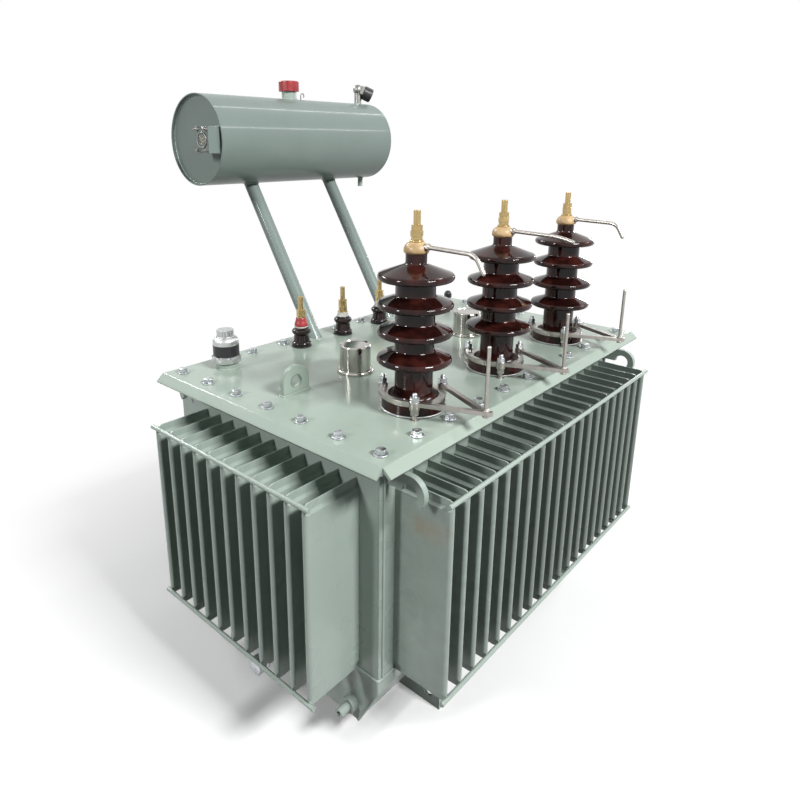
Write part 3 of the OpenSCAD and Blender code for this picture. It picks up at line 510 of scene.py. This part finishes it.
brass = metal("brass", (0.50, 0.37, 0.17), 0.32, scratch=0.03)
tan_resin = moulded("tan_resin", (0.49, 0.335, 0.17), 0.42)
pale_washer = moulded("pale_washer", (0.50, 0.50, 0.47), 0.5)
red_plastic = moulded("red_plastic", (0.33, 0.030, 0.034), 0.34)
black_plastic = moulded("black_plastic", (0.016, 0.016, 0.018), 0.36)
rubber = moulded("rubber", (0.035, 0.036, 0.036), 0.7, pebble=0.3)
gauge_glass = clear_glass("gauge_glass")
dial_brown = moulded("dial_brown", (0.012, 0.010, 0.008), 0.6)
float_gilt = metal("float_gilt", (0.46, 0.38, 0.24), 0.3)
dull_alloy = metal("dull_alloy", (0.27, 0.27, 0.26), 0.36, mottle=0.08, scratch=0.1)

NODE_FINISH = {
    "front_corrugated_wall": wall_paint, "lid": lid_paint, "lid_lifting_lugs": lid_paint,
    "lid_gasket": rubber,
    "hv_porcelain_left": porcelain, "hv_porcelain_middle": porcelain, "hv_porcelain_right": porcelain,
    "hv_clamp_left": horn_steel, "hv_clamp_middle": horn_steel, "hv_clamp_right": horn_steel,
    "hv_caps": tan_resin, "hv_terminals": brass,
    "hv_upper_horns": horn_steel, "hv_lower_horns": horn_steel,
    "lv_porcelains": dark_porcelain, "lv_washers": pale_washer, "lv_terminals": brass,
    "tap_changer_caps": chrome, "relief_valve": cast_alloy, "relief_valve_cap": cast_alloy,
    "thermometer_pocket": zinc, "thermometer_cap": black_plastic,
    "filler_cap": red_plastic, "breather": dull_alloy, "breather_cap": black_plastic,
    "conservator_shell": shell_paint, "conservator_supports": shell_paint,
    "conservator_left_end": shell_paint, "conservator_right_end": shell_paint,
    "level_gauge": shell_paint,
}
for name, obj in nodes.items():
    obj.data.materials.clear()
    obj.data.materials.append(NODE_FINISH.get(name, tank_paint))


# Fittings


def bolt_places():
    """Places of the lid's bolts, evenly spaced round a rectangle just outside the tank walls."""
    x, y = TANK_X + BOLT_LINE_OUT, TANK_Y + BOLT_LINE_OUT
    along = [-x + 2 * x * i / (LONG_BOLTS - 1) for i in range(LONG_BOLTS)]
    across = [-y + 2 * y * i / (END_BOLTS - 1) for i in range(1, END_BOLTS - 1)]
    long_sides = [(a, s * y) for a in along for s in BOTH]
    return long_sides + [(s * x, b) for b in across for s in BOTH]


def lid_bolts():
    """Bolt heads on washers along the lid's edges, and nuts with bolt ends under the tank's rim."""
    heads, nuts = bmesh.new(), bmesh.new()
    across, head_h, washer_t, nut_washer_t = 0.017, 0.0085, 0.0025, 0.0022
    washer = ring_profile(inner=0.005, outer=0.0130, low=0, high=washer_t, edge=0.0007)
    nut_washer = ring_profile(inner=0.004, outer=0.0120, low=0, high=nut_washer_t, edge=0.0006)
    nut_z = RIM_FOOT_Z - nut_washer_t
    down = (0, 0, -1)
    for x, y in bolt_places():
        turn = rng.uniform(0, 60)
        lathe(heads, place((x, y, LID_Z)), washer)
        hex_head(heads, place((x, y, LID_Z + washer_t), turn=turn), across, head_h, dome=0.0006)
        lathe(nuts, place((x, y, RIM_FOOT_Z), down, turn), nut_washer)
        hex_head(nuts, place((x, y, nut_z), down, turn), across, head_h)
        end = place((x, y, nut_z - head_h), down)
        thread(nuts, end, root=0.0046, crest=0.0051, pitch=0.0016, length=0.009, sides=12)
    piece("lid_bolts", heads, zinc)
    piece("lid_bolt_nuts", nuts, zinc)


def around(axis, angle, radius, z):
    """A point at an angle and radius about an upright axis."""
    a = math.radians(angle)
    return Vector((axis.x + radius * math.cos(a), axis.y + radius * math.sin(a), z))


def clamp_bolts():
    """Legs, studs and nuts at the ears of the bushing clamps, and the lower horns' nuts and tips."""
    legs, bolts = bmesh.new(), bmesh.new()
    leg_w, leg_d, leg_h, leg_edge = 0.015, 0.012, 0.012, 0.0015
    washer_t, nut_across, nut_h, stud_rise = 0.0018, 0.0150, 0.0095, 0.0110
    washer = ring_profile(inner=0.004, outer=0.0095, low=0, high=washer_t, edge=0.0006)
    bar_top = CLAMP_HI.z + HORN_BAR_T
    leg_foot = CLAMP_LO.z - leg_h
    rise = leg_foot - LID_Z
    for axis in HV:
        for angle in EAR_ANGLES:
            under_ear = place(around(axis, angle, EAR_R, leg_foot), turn=angle)
            block(legs, under_ear, leg_d, leg_w, leg_h, leg_edge)
            foot = around(axis, angle, EAR_R, LID_Z)
            lathe(legs, place(foot), [
                (0, 0), (0.0085, 0), (0.0080, 0.0014), (0.0050, 0.0026), (0.0046, rise), (0, rise),
            ], 24)
            top = around(axis, angle, EAR_R, bar_top)
            lathe(bolts, place(top), washer, 24)
            on_washer = place(top + Vector((0, 0, washer_t)), turn=rng.uniform(0, 60))
            hex_head(bolts, on_washer, nut_across, nut_h)
            lathe(bolts, place(top + Vector((0, 0, stud_rise))), [
                (0.0048, 0), (0.0048, 0.0035), (0.0042, 0.0058), (0.0028, 0.0072), (0, 0.0078),
            ], 24)
        apex = around(axis, HORN_ANGLE, HORN_REACH, bar_top)
        lathe(legs, place(apex), [
            (0.0030, 0), (0.0066, 0), (0.0066, 0.0018), (0.0050, 0.0032), (0.0036, 0.0046),
            (0.0030, 0.0046),
        ], 32)
        under_bar = place(apex - Vector((0, 0, HORN_BAR_T)), (0, 0, -1), rng.uniform(0, 60))
        hex_head(legs, under_bar, across=0.0115, height=0.0040)
    for axis in HV:
        tip = around(axis, HORN_ANGLE, HORN_REACH, LOWER_HORN_TOP_Z)
        lathe(legs, place(tip), [
            (HORN_R, -0.0010), (0.0038, 0.0006), (0.0027, 0.0018), (0, 0.0024),
        ], 24)
    piece("clamp_legs", legs, horn_steel)
    piece("clamp_bolts", bolts, zinc)


def upper_horns():
    """Bent rods of the upper arcing horns, each in a collar with a nut on its cap."""
    bm = bmesh.new()
    collar_r, collar_seat, root_rise = 0.0055, 0.018, 0.014
    nut_along, nut_across, nut_h = 0.0062, 0.0120, 0.0045
    bend_reach, bend_drop, bend_r, tip_l = 0.126, 0.003, 0.016, 0.039
    tip_falls = (60, 13, 60)
    root_z = CAP_FOOT_Z + root_rise
    for axis, fall in zip(HV, tip_falls):
        down = math.radians(fall)
        root = around(axis, HORN_ANGLE, collar_seat, root_z)
        bend = around(axis, HORN_ANGLE, bend_reach, root_z - bend_drop)
        tip_reach, tip_z = bend_reach + tip_l * math.cos(down), bend.z - tip_l * math.sin(down)
        tip = around(axis, HORN_ANGLE, tip_reach, tip_z)
        wire(bm, rounded([root, bend, tip], bend_r), HORN_R, 16)
        out = around(axis, HORN_ANGLE, 1, root_z) - around(axis, HORN_ANGLE, 0, root_z)
        lathe(bm, place(root, out), [
            (0.0030, 0), (collar_r, 0), (collar_r, 0.0104), (0.0050, 0.0112), (0.0050, 0.0122),
            (0.0030, 0.0122),
        ], 32)
        nut = place(root + nut_along * out, out, rng.uniform(0, 60))
        hex_head(bm, nut, nut_across, nut_h)
    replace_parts(piece("upper_horn_rods", bm, horn_steel), "hv_upper_horns")


def bushing_seats():
    """Steel rings under the high-voltage bushings, and rubber gaskets under the low-voltage ones."""
    rings, gaskets = bmesh.new(), bmesh.new()
    ring = ring_profile(inner=0.056, outer=0.0642, low=0, high=0.0038, edge=0.0012)
    gasket = ring_profile(inner=0.020, outer=0.0254, low=0, high=0.0022, edge=0.0007)
    for axis in HV:
        lathe(rings, place((axis.x, axis.y, LID_Z)), ring, 80)
    for axis in LV:
        lathe(gaskets, place((axis.x, axis.y, LID_Z)), gasket, 40)
    piece("bushing_rings", rings, ring_steel)
    piece("bushing_gaskets", gaskets, rubber)


def stud_threads():
    """Screw threads round the terminal studs."""
    bm = bmesh.new()
    root_out, crest_out, pitch, end_out = 0.0001, 0.0004, 0.0020, 0.0003
    for mount in HV_STUDS + LV_STUDS:
        radius, length = mount["dims"]["r_mm"] / 1000, mount["dims"]["length_mm"] / 1000
        foot = Vector(mount["pos_m"]) - Vector((0, 0, length / 2))
        thread(bm, place(foot), radius + root_out, radius + crest_out, pitch, length + end_out, 28)
    piece("stud_threads", bm, brass)


def terminal_washers():
    """Thin brass washers under the terminal nuts."""
    bm = bmesh.new()
    hv_washer = ring_profile(inner=0.008, outer=0.0130, low=-0.0004, high=0.0030, edge=0.0006)
    lv_washer = ring_profile(inner=0.007, outer=0.0128, low=-0.0004, high=0.0020, edge=0.0005)
    lo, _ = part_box("hv_terminals")
    for axis in HV:
        lathe(bm, place((axis.x, axis.y, lo.z)), hv_washer, 40)
    lo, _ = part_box("lv_terminals")
    for axis in LV:
        lathe(bm, place((axis.x, axis.y, lo.z)), lv_washer, 40)
    piece("terminal_washers", bm, brass)


def red_sleeve():
    """The red sealing sleeve on the first low-voltage bushing."""
    lo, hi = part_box("lv_washers")
    bm = bmesh.new()
    top = hi.z - lo.z
    lathe(bm, place((LV[0].x, LV[0].y, lo.z)), [
        (0.0100, 0.004), (0.0166, 0.004), (0.0170, 0.005), (0.0166, top - 0.001), (0.0148, top + 0.003),
        (0.0130, top + 0.010), (0.0126, top + 0.013), (0.0118, top + 0.014), (0.0100, top + 0.014),
    ], 48)
    piece("red_sleeve", bm, red_plastic)


def relief_details():
    """Bare black band, flange screws, clamp ring and welded boss of the relief valve."""
    lo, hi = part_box("relief_valve")
    mid = (lo + hi) / 2
    flange_z, screw_r, boss_weld_r = 0.026, 0.0312, 0.0262
    band_ring = ring_profile(inner=0.027, outer=0.0296, low=0.029, high=0.0550, edge=0.0005)
    clamp_ring = ring_profile(inner=0.015, outer=0.0205, low=-0.0005, high=0.0025, edge=0.0008)
    boss_ring = ring_profile(inner=0.022, outer=0.0258, low=0, high=0.0140, edge=0.0006)
    foot = place((mid.x, mid.y, LID_Z))
    band = bmesh.new()
    lathe(band, foot, band_ring, 72)
    piece("relief_band", band, black_plastic)
    screws = bmesh.new()
    for i in range(6):
        at = around(mid, 60 * i + 15, screw_r, LID_Z + flange_z)
        screw = place(at, turn=rng.uniform(0, 60))
        hex_head(screws, screw, across=0.0055, height=0.0030, dome=0.0003)
    lathe(screws, place((mid.x, mid.y, hi.z)), clamp_ring, 64)
    piece("relief_screws", screws, cast_alloy)
    boss = bmesh.new()
    lathe(boss, foot, boss_ring, 64)
    weld = [around(mid, 360 * i / 48, boss_weld_r, LID_Z) for i in range(48)]
    bead(boss, weld, size=0.0026, closed=True)
    piece("relief_boss", boss, lid_paint, WELD_EDGE)


def gauge_details():
    """Bezel, glass, dial, float arms, corner studs and wire clips of the oil level gauge."""
    lo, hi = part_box("level_gauge")
    mid = (lo + hi) / 2
    face = Vector((lo.x, mid.y, mid.z))
    out = (-1, 0, 0)
    stud_y, stud_z, clip_r, arm_r = 0.0185, 0.0245, 0.0012, 0.0030
    washer_t, stud_rise = 0.0012, 0.0055
    washer = ring_profile(inner=0.002, outer=0.0058, low=0, high=washer_t, edge=0.0004)
    metalwork, glass, dial, arm = bmesh.new(), bmesh.new(), bmesh.new(), bmesh.new()
    lathe(metalwork, place(face, out), [
        (0.0162, -0.004), (0.0194, -0.0005), (0.0194, 0.0026), (0.0186, 0.0034), (0.0172, 0.0034),
        (0.0164, 0.0026), (0.0162, -0.004),
    ], 64)
    lathe(glass, place(face, out), [
        (0, -0.0005), (0.0163, -0.0005), (0.0163, 0.0012), (0.009, 0.0022), (0, 0.0026),
    ], 48)
    lathe(dial, place(face, out), [
        (0, -0.0058), (0.0149, -0.0058), (0.0149, -0.0012), (0.0142, -0.0012), (0.0138, -0.0044),
        (0, -0.0042),
    ], 48)
    for shift in (0.0045, -0.0050):
        wire(arm, [
            face + Vector((0.0034, -0.0100, 0.0052 + shift)), face + Vector((0.0030, 0.0, shift)),
            face + Vector((0.0034, 0.0095, shift - 0.0060)),
        ], arm_r, 10)
    for s in BOTH:
        for t in BOTH:
            at = face + Vector((0, stud_y * s, stud_z * t))
            lathe(metalwork, place(at, out), washer, 24)
            nut = place(at + Vector((-washer_t, 0, 0)), out, rng.uniform(0, 60))
            hex_head(metalwork, nut, across=0.0085, height=0.0045)
            stud = place(at + Vector((-stud_rise, 0, 0)), out)
            thread(metalwork, stud, root=0.0021, crest=0.0025, pitch=0.001, length=0.007, sides=12)
        front_stud = face + Vector((0, -stud_y, stud_z * s))
        clip = [front_stud + Vector((x, y, z * s)) for x, y, z in (
            (-0.004, 0.004, 0.002), (-0.010, 0.007, 0.005), (-0.018, 0.004, 0.004),
            (-0.024, 0.000, 0.006), (-0.033, -0.003, 0.003),
        )]
        wire(metalwork, clip, clip_r)
    piece("gauge_metalwork", metalwork, dull_alloy)
    piece("gauge_glass", glass, gauge_glass)
    piece("gauge_dial", dial, dial_brown)
    piece("gauge_arm", arm, float_gilt)


def filler_hook():
    """The small curled wire beside the filler neck."""
    bm = bmesh.new()
    wire_r, curl_r, stem_h, curl_z = 0.0016, 0.006, 0.010, 0.012
    right, front, sunk = 0.040, 0.004, 0.001
    foot = Vector((SHELL_MID.x + right, SHELL_MID.y - front, SHELL_HI.z - sunk))
    curl = [foot, foot + Vector((0, 0, stem_h))]
    for i in range(9):
        a = math.radians(180 - 30 * i)
        curl.append(foot + Vector((curl_r + curl_r * math.cos(a), 0, curl_z + curl_r * math.sin(a))))
    wire(bm, curl, wire_r)
    piece("filler_hook", bm, dull_alloy)


def drain_fittings():
    """Hexagon cap with a collar on the oil stub."""
    lo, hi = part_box("tank_drains")
    bm = bmesh.new()
    out, turn = (-1, 0, 0), 12
    cap_in, collar_in = 0.020, 0.026
    mid_z = (lo.z + hi.z) / 2
    cap = place((lo.x + cap_in, 0, mid_z), out, turn)
    hex_head(bm, cap, across=0.034, height=0.021, dome=0.001)
    collar = ring_profile(inner=0.010, outer=0.0185, low=0, high=0.006, edge=0.0012)
    lathe(bm, place((lo.x + collar_in, 0, mid_z), out), collar, 40)
    piece("drain_cap", bm, zinc)


# Welds


def rectangle(x0, x1, y0, y1, z):
    """The corners of a level rectangle."""
    return [(x0, y0, z), (x1, y0, z), (x1, y1, z), (x0, y1, z)]


def saddle(start_at, direction, radius, count=64):
    """The line where a round stub that runs from a point along a direction meets the conservator."""
    way = Vector(direction).normalized()
    side = way.orthogonal().normalized()
    rise = way.cross(side)
    points = []
    for a in turns(count):
        p = Vector(start_at) + radius * (math.cos(a) * side + math.sin(a) * rise)
        y, z = p.y - SHELL_MID.y, p.z - SHELL_MID.z
        b = y * way.y + z * way.z
        c = y * y + z * z - SHELL_R**2
        d = way.y**2 + way.z**2
        points.append(p + way * ((-b - math.sqrt(b * b - c * d)) / d))
    return points


def tank_welds():
    """Beads of the tank's corners, edges, trough, skids, hooks and drains."""
    bm = bmesh.new()
    seam_in, knee_z, floor_y = 0.012, 0.159, 0.228
    hook_t, hook_foot_z = 0.012, 0.599
    drain_z, drains = 0.095, ((-0.212, 0.016), (0.0, 0.013))
    for x in (seam_in - TANK_X, TANK_X - seam_in):
        for y in (-TANK_Y, TANK_Y):
            bead(bm, [(x, y, WALL_FOOT_Z), (x, y, RIM_FOOT_Z)], size=0.0032)
    for z in (WALL_FOOT_Z, RIM_FOOT_Z):
        bead(bm, rectangle(-TANK_X, TANK_X, -TANK_Y, TANK_Y, z), size=0.0034, closed=True)
    for x in (-TANK_X, TANK_X):
        for s in BOTH:
            y = s * TANK_Y
            fold = [(x, y, WALL_FOOT_Z), (x, y, knee_z), (x, s * floor_y, FLOOR_Z)]
            bead(bm, fold, size=0.0028)
    for skid in ("left_skid", "right_skid"):
        lo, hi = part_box(skid)
        for x in (lo.x, hi.x):
            bead(bm, [(x, -floor_y, FLOOR_Z), (x, floor_y, FLOOR_Z)], size=0.0030)
    for end, s in (("front_lifting_hooks", -1), ("rear_lifting_hooks", 1)):
        lo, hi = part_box(end)
        y = s * TANK_Y
        for x in (lo.x, hi.x - hook_t):
            far, low = x + hook_t, hook_foot_z
            outline = [(x, y, low), (far, y, low), (far, y, hi.z), (x, y, hi.z)]
            bead(bm, outline, size=0.0034, closed=True)
    for y, r in drains:
        ring = [(-TANK_X, y + r * math.cos(a), drain_z + r * math.sin(a)) for a in turns(40)]
        bead(bm, ring, size=0.0026, closed=True)
    piece("tank_welds", bm, weld_paint, WELD_EDGE)


def rod_tacks():
    """Short welds that hold the tie rods to the fins."""
    bm = bmesh.new()
    rod_r, tack_in, tack_off, tack_size = 0.0045, 0.0030, 0.0036, 0.0026
    for node, count, axis in (
        ("front_tie_rods", LONG_FINS, 0), ("rear_tie_rods", LONG_FINS, 0),
        ("left_tie_rods", END_FINS, 1), ("right_tie_rods", END_FINS, 1),
    ):
        lo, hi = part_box(node)
        mid = (lo + hi) / 2
        inward = Vector((0, -math.copysign(1, mid.y), 0))
        if axis == 1:
            inward = Vector((-math.copysign(1, mid.x), 0, 0))
        for i in range(count):
            along = (i - (count - 1) / 2) * FIN_PITCH
            for z, sign in ((lo.z + rod_r, 1), (hi.z - rod_r, -1)):
                at = Vector((along, mid.y, z)) if axis == 0 else Vector((mid.x, along, z))
                tack(bm, at + inward * tack_in + Vector((0, 0, tack_off * sign)), tack_size)
    piece("rod_tacks", bm, weld_paint, WELD_EDGE)


def lid_welds():
    """Beads round the feet of the lid's lifting lugs."""
    bm = bmesh.new()
    lo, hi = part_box("lid_lifting_lugs")
    lug_w = 0.070
    for x in (lo.x, hi.x - lug_w):
        bead(bm, rectangle(x, x + lug_w, lo.y, hi.y, LID_Z), size=0.0034, closed=True)
    piece("lid_welds", bm, lid_paint, WELD_EDGE)


def conservator_welds():
    """Beads of the conservator's supports, fittings, ends and gauge."""
    bm = bmesh.new()
    tube_r, foot_y = 0.018, 0.270
    neck_r, breather_r, breather_in, drain_r = 0.0205, 0.011, 0.030, 0.008
    start_over, start_under = 0.05, 0.01
    mid_y, mid_z = SHELL_MID.y, SHELL_MID.z
    lo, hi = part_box("conservator_supports")
    lean = Vector((0, mid_y - foot_y, SHELL_LO.z - LID_Z)).normalized()
    slant_r = tube_r / lean.z
    for x in (lo.x + tube_r, hi.x - tube_r):
        ring = [(x + tube_r * math.cos(a), foot_y + slant_r * math.sin(a), LID_Z) for a in turns(48)]
        bead(bm, ring, size=0.0036, closed=True)
        bead(bm, saddle((x, foot_y, LID_Z), lean, tube_r), size=0.0034, closed=True)
    lo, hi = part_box("filler_neck")
    neck_x, breather_x = (lo.x + hi.x) / 2, SHELL_HI.x - breather_in
    for x, r, size in ((neck_x, neck_r, 0.0032), (breather_x, breather_r, 0.0024)):
        bead(bm, saddle((x, mid_y, SHELL_HI.z + start_over), (0, 0, -1), r), size, closed=True)
    lo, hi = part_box("conservator_drain")
    stub = ((lo.x + hi.x) / 2, mid_y, lo.z - start_under)
    bead(bm, saddle(stub, (0, 0, 1), drain_r), size=0.0022, closed=True)
    for node in ("conservator_left_end", "conservator_right_end"):
        lo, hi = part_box(node)
        r = (hi.z - lo.z) / 2
        outer = lo.x if node == "conservator_left_end" else hi.x
        ring = [(outer, mid_y + r * math.cos(a), mid_z + r * math.sin(a)) for a in turns(160)]
        bead(bm, ring, size=0.0026, closed=True)
    lo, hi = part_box("level_gauge")
    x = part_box("conservator_left_end")[0].x
    outline = [(x, lo.y, lo.z), (x, hi.y, lo.z), (x, hi.y, hi.z), (x, lo.y, hi.z)]
    bead(bm, outline, size=0.0026, closed=True)
    piece("conservator_welds", bm, weld_paint, WELD_EDGE)


lid_bolts()
clamp_bolts()
upper_horns()
bushing_seats()
stud_threads()
terminal_washers()
red_sleeve()
relief_details()
gauge_details()
filler_hook()
drain_fittings()
tank_welds()
rod_tacks()
lid_welds()
conservator_welds()


# Stage, light and camera


def seen_rays(tree):
    """1 for rays that show the background: from the camera, off gloss and through glass."""
    path = add(tree, "LightPath", {})
    total = path.outputs["Is Camera Ray"]
    for name in ("Is Glossy Ray", "Is Transmission Ray"):
        total = add(tree, "Math", {0: total, 1: path.outputs[name]}, operation="MAXIMUM").outputs[0]
    return total


def floor():
    """A pale floor that keeps the shadow and fades to white away from the object."""
    fade_from, fade_to, half = 0.6, 1.7, 20.0
    bounce, shown = (0.12, 0.12, 0.12), (0.92, 0.92, 0.92)
    mat = bpy.data.materials.new("floor")
    tree = blank(mat)
    seen = seen_rays(tree)
    spot = add(tree, "TexCoord", {}).outputs["Object"]
    away = add(tree, "VectorMath", {0: spot}, operation="LENGTH").outputs["Value"]
    far = spread(tree, away, fade_from, fade_to)
    fade = add(tree, "Math", {0: seen, 1: far}, operation="MULTIPLY").outputs[0]
    tone = tint(tree, seen, bounce, shown)
    matte = add(tree, "BsdfDiffuse", {"Color": tone}).outputs[0]
    white = add(tree, "Emission", {"Color": (1, 1, 1, 1), "Strength": 1.0}).outputs[0]
    mixed = add(tree, "MixShader", {0: fade, 1: matte, 2: white}).outputs[0]
    add(tree, "OutputMaterial", {"Surface": mixed})
    bm = bmesh.new()
    bm.faces.new([bm.verts.new(p) for p in rectangle(-half, half, -half, half, 0.0)])
    mesh = bpy.data.meshes.new("floor")
    bm.to_mesh(mesh)
    bm.free()
    mesh.materials.append(mat)
    obj = bpy.data.objects.new("floor", mesh)
    bpy.context.scene.collection.objects.link(obj)


def surroundings(level):
    """A white background that lights the object evenly at a level."""
    world = bpy.data.worlds.new("studio")
    tree = blank(world)
    dim = add(tree, "Background", {"Color": (1, 1, 1, 1), "Strength": level}).outputs[0]
    white = add(tree, "Background", {"Color": (1, 1, 1, 1), "Strength": 1.0}).outputs[0]
    mixed = add(tree, "MixShader", {0: seen_rays(tree), 1: dim, 2: white}).outputs[0]
    add(tree, "OutputWorld", {"Surface": mixed})
    bpy.context.scene.world = world


def softbox(name, at, aim, size, level):
    """A rectangular lamp that lights a surface facing it at the aim to a share of plain white."""
    data = bpy.data.lights.new(name, "AREA")
    data.shape = "RECTANGLE"
    data.size, data.size_y = size
    to_aim = Vector(aim) - Vector(at)
    data.energy = level * (math.pi * to_aim.length) ** 2
    obj = bpy.data.objects.new(name, data)
    obj.location = at
    obj.rotation_euler = to_aim.to_track_quat("-Z", "Y").to_euler()
    bpy.context.scene.collection.objects.link(obj)


def camera():
    """The photograph's view, fitted to the corners of the lid, fins and tie rods."""
    data = bpy.data.cameras.new("camera")
    data.lens, data.sensor_width = 28.72, 36.0
    data.shift_x, data.shift_y = 0.0448, -0.0940
    obj = bpy.data.objects.new("camera", data)
    at = (-1.2111, -0.9153, 1.157)
    right, up, back = (0.6741, -0.7386, 0.0), (0.1998, 0.1823, 0.9627), (-0.7111, -0.6490, 0.2705)
    turn = Matrix((right, up, back)).transposed().to_4x4()
    obj.matrix_world = Matrix.Translation(at) @ turn
    bpy.context.scene.collection.objects.link(obj)
    bpy.context.scene.camera = obj


# The lamps' aim, the size of the two tubes that draw light lines on the conservator, and the even light
MIDDLE = (0.0, 0.0, 0.6)
TUBE = (2.8, 0.12)
AMBIENT = 0.045

floor()
surroundings(AMBIENT)
softbox("key", at=(-0.2, -3.4, 3.4), aim=MIDDLE, size=(1.5, 0.6), level=1.26)
softbox("right", at=(4.2, 0.4, 1.2), aim=MIDDLE, size=(1.0, 0.8), level=0.30)
softbox("left", at=(-3.7, 0.8, 2.6), aim=MIDDLE, size=(0.5, 1.0), level=0.44)
softbox("rear", at=(-0.3, 3.7, 3.3), aim=MIDDLE, size=(2.0, 0.4), level=0.40)
softbox("front_tube", at=(3.4, -2.9, 3.3), aim=(3.4, 0.0, 0.6), size=TUBE, level=0.20)
softbox("top_tube", at=(3.1, 0.5, 4.4), aim=(3.1, 0.4, 0.6), size=TUBE, level=0.16)
camera()
bpy.context.scene.view_settings.view_transform = "Standard"
